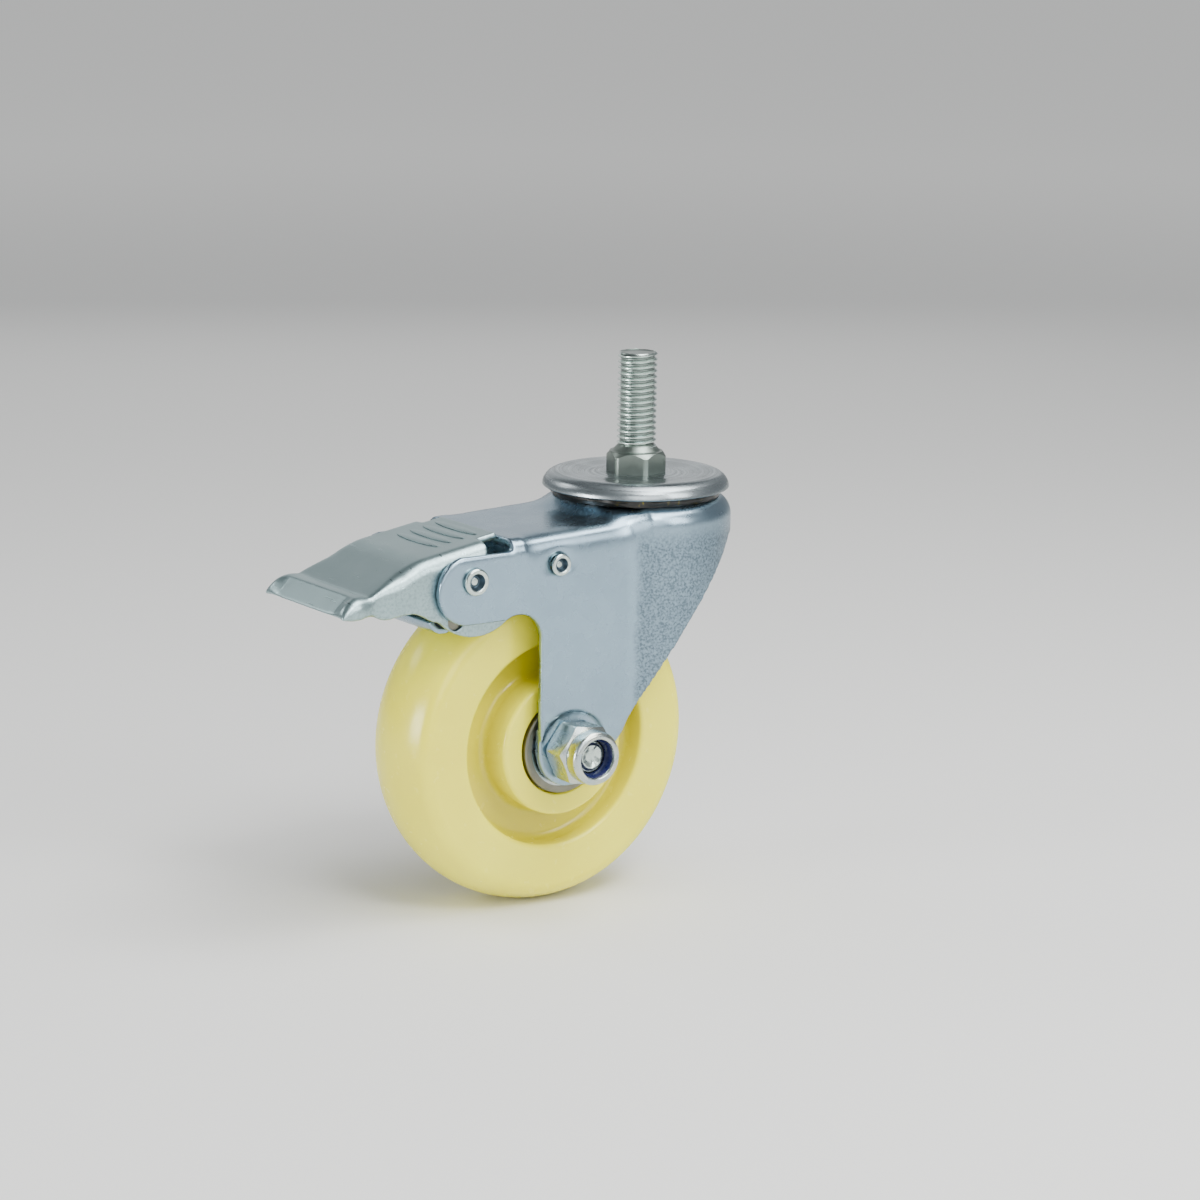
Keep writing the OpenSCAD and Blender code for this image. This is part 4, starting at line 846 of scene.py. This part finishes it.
class CASTOR_OT_pedal(bpy.types.Operator):
    """Foot pedal pressed from one sheet, with ribs on its plate"""

    bl_idname = "castor.pedal"
    bl_label = "Pedal"

    def flatten_lip(self, mesh):
        """Turns the round of the toe's lip into a flat face below a soft crest."""
        radius, start, end = 8, 14, 70
        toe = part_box("brake_pedal")[0].x / MM
        axis_x = toe + radius * math.sin(math.radians(end))
        heights = [v.co.z for v in mesh.vertices if abs(v.co.x / MM - axis_x) < 1]
        axis_z = max(heights) / MM - radius
        middle, half = math.radians((start + end) / 2), math.radians((end - start) / 2)
        for v in mesh.vertices:
            x, z = v.co.x / MM - axis_x, v.co.z / MM - axis_z
            turn = math.atan2(-x, z)
            if x < 0 and abs(turn - middle) < half:
                share = min(max((19.5 - abs(v.co.y) / MM) / 4, 0), 1)
                shift = share * (radius - radius * math.cos(half) / math.cos(turn - middle))
                v.co.x += math.sin(turn) * shift * MM
                v.co.z -= math.cos(turn) * shift * MM

    def execute(self, context):
        sizes = context.scene.castor_looks.sizes
        scuffed = finish("Zinc scuffed pedal")

        def drawn_toe(p):
            return p.x < -94 and abs(p.y) > 13

        pedal = softened("brake_pedal", "pressed_pedal", scuffed, 0.45 * MM, 4, drawn_toe, 10)
        self.flatten_lip(pedal.data)
        settle(pedal, "pedal", "zinc_pedal", "brake_pedal")
        slope, spacing = math.radians(9.8), 4.4
        first = Vector((-64.5, 0, -16.75 - (64.5 - 60) * math.tan(slope))) * MM
        ribs = grown("pedal_ribs", rib_tree(), {
            "Count": sizes.rib_count, "Length": sizes.rib_length, "Height": sizes.rib_height, "Width": 3.0 * MM,
            "First": first, "Step": Vector((-spacing, 0, -spacing * math.tan(slope))) * MM,
            "Slope": (0, -slope, 0), "Material": scuffed})
        settle(ribs, "pedal", "zinc_pedal")
        return {"FINISHED"}


class CASTOR_OT_brake(bpy.types.Operator):
    """Brake lever with rounded sheet edges"""

    bl_idname = "castor.brake"
    bl_label = "Brake lever"

    def execute(self, context):
        lever = softened("brake_lever", "brake_blade", finish("Zinc pressed sheet"), 0.5 * MM, 2)
        settle(lever, "lever", "zinc_pressed", "brake_lever")
        return {"FINISHED"}


class CASTOR_OT_inner(bpy.types.Operator):
    """Finishes of the bearings, balls, sleeves, pins and spring, whose solids are shown as they are"""

    bl_idname = "castor.inner"
    bl_label = "Inner pieces"

    def execute(self, context):
        finishes = {
            # These pieces get the dark warm bearing steel: painted shade.
            "Bearing steel in painted shade": (
                "upper_balls", "lower_balls", "near_inner_ring", "far_inner_ring", "near_outer_ring",
                "far_outer_ring", "near_bearing_balls", "far_bearing_balls", "cam_pin",
                "axle_sleeve", "swivel_sleeve"),
            "Zinc turned steel": ("near_spacer", "far_spacer"),
            "Zinc passivated nut": ("near_dust_shield", "far_dust_shield"),
            "Zinc pressed sheet": ("lower_race_cup",),
            "Drawn spring wire": ("return_spring",),
        }
        for name, pieces in finishes.items():
            for piece in pieces:
                NODES[piece].data.materials.clear()
                NODES[piece].data.materials.append(finish(name))
        return {"FINISHED"}


class CASTOR_OT_stage(bpy.types.Operator):
    """Pale floor, soft lights and the camera"""

    bl_idname = "castor.stage"
    bl_label = "Stage"

    def execute(self, context):
        scene = context.scene
        looks = scene.castor_looks
        bm = bmesh.new()
        bmesh.ops.create_grid(
            bm, x_segments=1, y_segments=1, size=40, matrix=Matrix.Translation((0, 0, FLOOR_Z)))
        material = blank_material("Pale floor")
        tree = material.node_tree
        place = add(tree, "ShaderNodeTexCoord").outputs["Object"]
        away = add(tree, "ShaderNodeVectorMath", {0: place}, operation="LENGTH")
        # Far from the softboxes the floor gives off a little light, so that it stays pale to its end.
        far = add(tree, "ShaderNodeMapRange", {
            "Value": away.outputs["Value"], "From Min": 0.6, "From Max": 2.6, "To Min": 0.0, "To Max": 0.5},
            interpolation_type="SMOOTHSTEP")
        skin = add(tree, "ShaderNodeBsdfPrincipled", {
            "Base Color": (*looks.colours.floor, 1), "Roughness": 0.75,
            "Emission Color": (*looks.colours.floor, 1), "Emission Strength": far.outputs["Result"]})
        add(tree, "ShaderNodeOutputMaterial", {"Surface": skin.outputs["BSDF"]})
        made("studio_floor", bm, material)

        world = bpy.data.worlds.new("Studio air")
        world.use_nodes = True
        air = world.node_tree
        air.nodes.clear()
        ahead = add(air, "ShaderNodeTexCoord").outputs["Generated"]
        level = add(air, "ShaderNodeSeparateXYZ", {"Vector": ahead})
        strength = add(air, "ShaderNodeMapRange", {
            "Value": level.outputs["Z"], "From Min": 0.1, "From Max": 0.75, "To Min": 0.48, "To Max": 0.28})
        glow = add(air, "ShaderNodeBackground", {
            "Color": (*linear("#D5D9DD"), 1), "Strength": strength.outputs["Result"]})
        add(air, "ShaderNodeOutputWorld", {"Surface": glow.outputs["Background"]})
        scene.world = world

        aim = Vector((-0.03, 0, -0.06))
        for name, spot, wide, tall, power in (
                ("key_softbox", (-0.15, -0.8, 0.9), 0.4, 0.4, 9),
                ("left_softbox", (-1.05, 0.08, 0.04), 0.3, 0.32, 6),
                ("front_softbox", (-0.4, -0.95, 0.3), 0.7, 0.5, 3.5),
                ("right_softbox", (0.32, -0.95, 0.42), 0.45, 0.6, 6),
                ("top_softbox", (0.25, -0.3, 0.95), 0.7, 0.7, 14),
                ("back_softbox", (0.5, 1.0, 0.42), 1.0, 0.7, 1.5),
                ("rim_softbox", (-0.6, 0.9, 0.6), 0.4, 0.4, 2)):
            light = bpy.data.lights.new(name, "AREA")
            light.shape = "RECTANGLE"
            light.size = wide
            light.size_y = tall
            light.energy = power
            lamp = bpy.data.objects.new(name, light)
            lamp.location = spot
            lamp.visible_camera = False
            lamp.rotation_euler = (aim - Vector(spot)).to_track_quat("-Z", "Y").to_euler()
            scene.collection.objects.link(lamp)

        turn, rise, roll = math.radians(-35.157), math.radians(12.194), math.radians(0.951)
        back = Vector((math.sin(turn) * math.cos(rise), -math.cos(turn) * math.cos(rise), math.sin(rise)))
        right = Vector((math.cos(turn), math.sin(turn), 0))
        up = back.cross(right)
        across = math.cos(roll) * right + math.sin(roll) * up
        upright = math.cos(roll) * up - math.sin(roll) * right
        camera = bpy.data.objects.new("photo_camera", bpy.data.cameras.new("photo_camera"))
        camera.data.sensor_fit = "HORIZONTAL"
        camera.data.sensor_width = 36
        camera.data.lens = PHOTO_LENS
        camera.data.clip_start = 0.05
        pose = Matrix((across, upright, back)).transposed().to_4x4()
        pose.translation = (-10.156 * right - 45.458 * up + PHOTO_DISTANCE * back) * MM
        camera.matrix_world = pose
        scene.collection.objects.link(camera)
        scene.camera = camera
        return {"FINISHED"}


class CASTOR_PT_panel(bpy.types.Panel):
    """Lists the castor's pieces and settings"""

    bl_idname = "CASTOR_PT_panel"
    bl_label = "Braked castor"
    bl_space_type = "VIEW_3D"
    bl_region_type = "UI"
    bl_category = "Castor"

    def draw(self, context):
        looks = context.scene.castor_looks
        for operator in OPERATORS:
            self.layout.operator(operator.bl_idname)
        for group in (looks.sizes, looks.colours):
            for name in group.__annotations__:
                self.layout.prop(group, name)


OPERATORS = (
    CASTOR_OT_stem, CASTOR_OT_cap, CASTOR_OT_fork, CASTOR_OT_wheel, CASTOR_OT_axle, CASTOR_OT_rivets,
    CASTOR_OT_pedal, CASTOR_OT_brake, CASTOR_OT_inner, CASTOR_OT_stage)
CLASSES = (CastorColours, CastorSizes, CastorLooks) + OPERATORS + (CASTOR_PT_panel,)


def register():
    for kind in CLASSES:
        bpy.utils.register_class(kind)
    bpy.types.Scene.castor_looks = PointerProperty(type=CastorLooks)


def unregister():
    del bpy.types.Scene.castor_looks
    for kind in reversed(CLASSES):
        bpy.utils.unregister_class(kind)


def main():
    register()
    bpy.ops.castor.stage()
    bpy.ops.castor.stem()
    bpy.ops.castor.cap()
    bpy.ops.castor.fork()
    bpy.ops.castor.wheel()
    bpy.ops.castor.axle()
    bpy.ops.castor.rivets()
    bpy.ops.castor.pedal()
    bpy.ops.castor.brake()
    bpy.ops.castor.inner()
    bpy.context.view_layer.update()


if __name__ == "__main__":
    main()
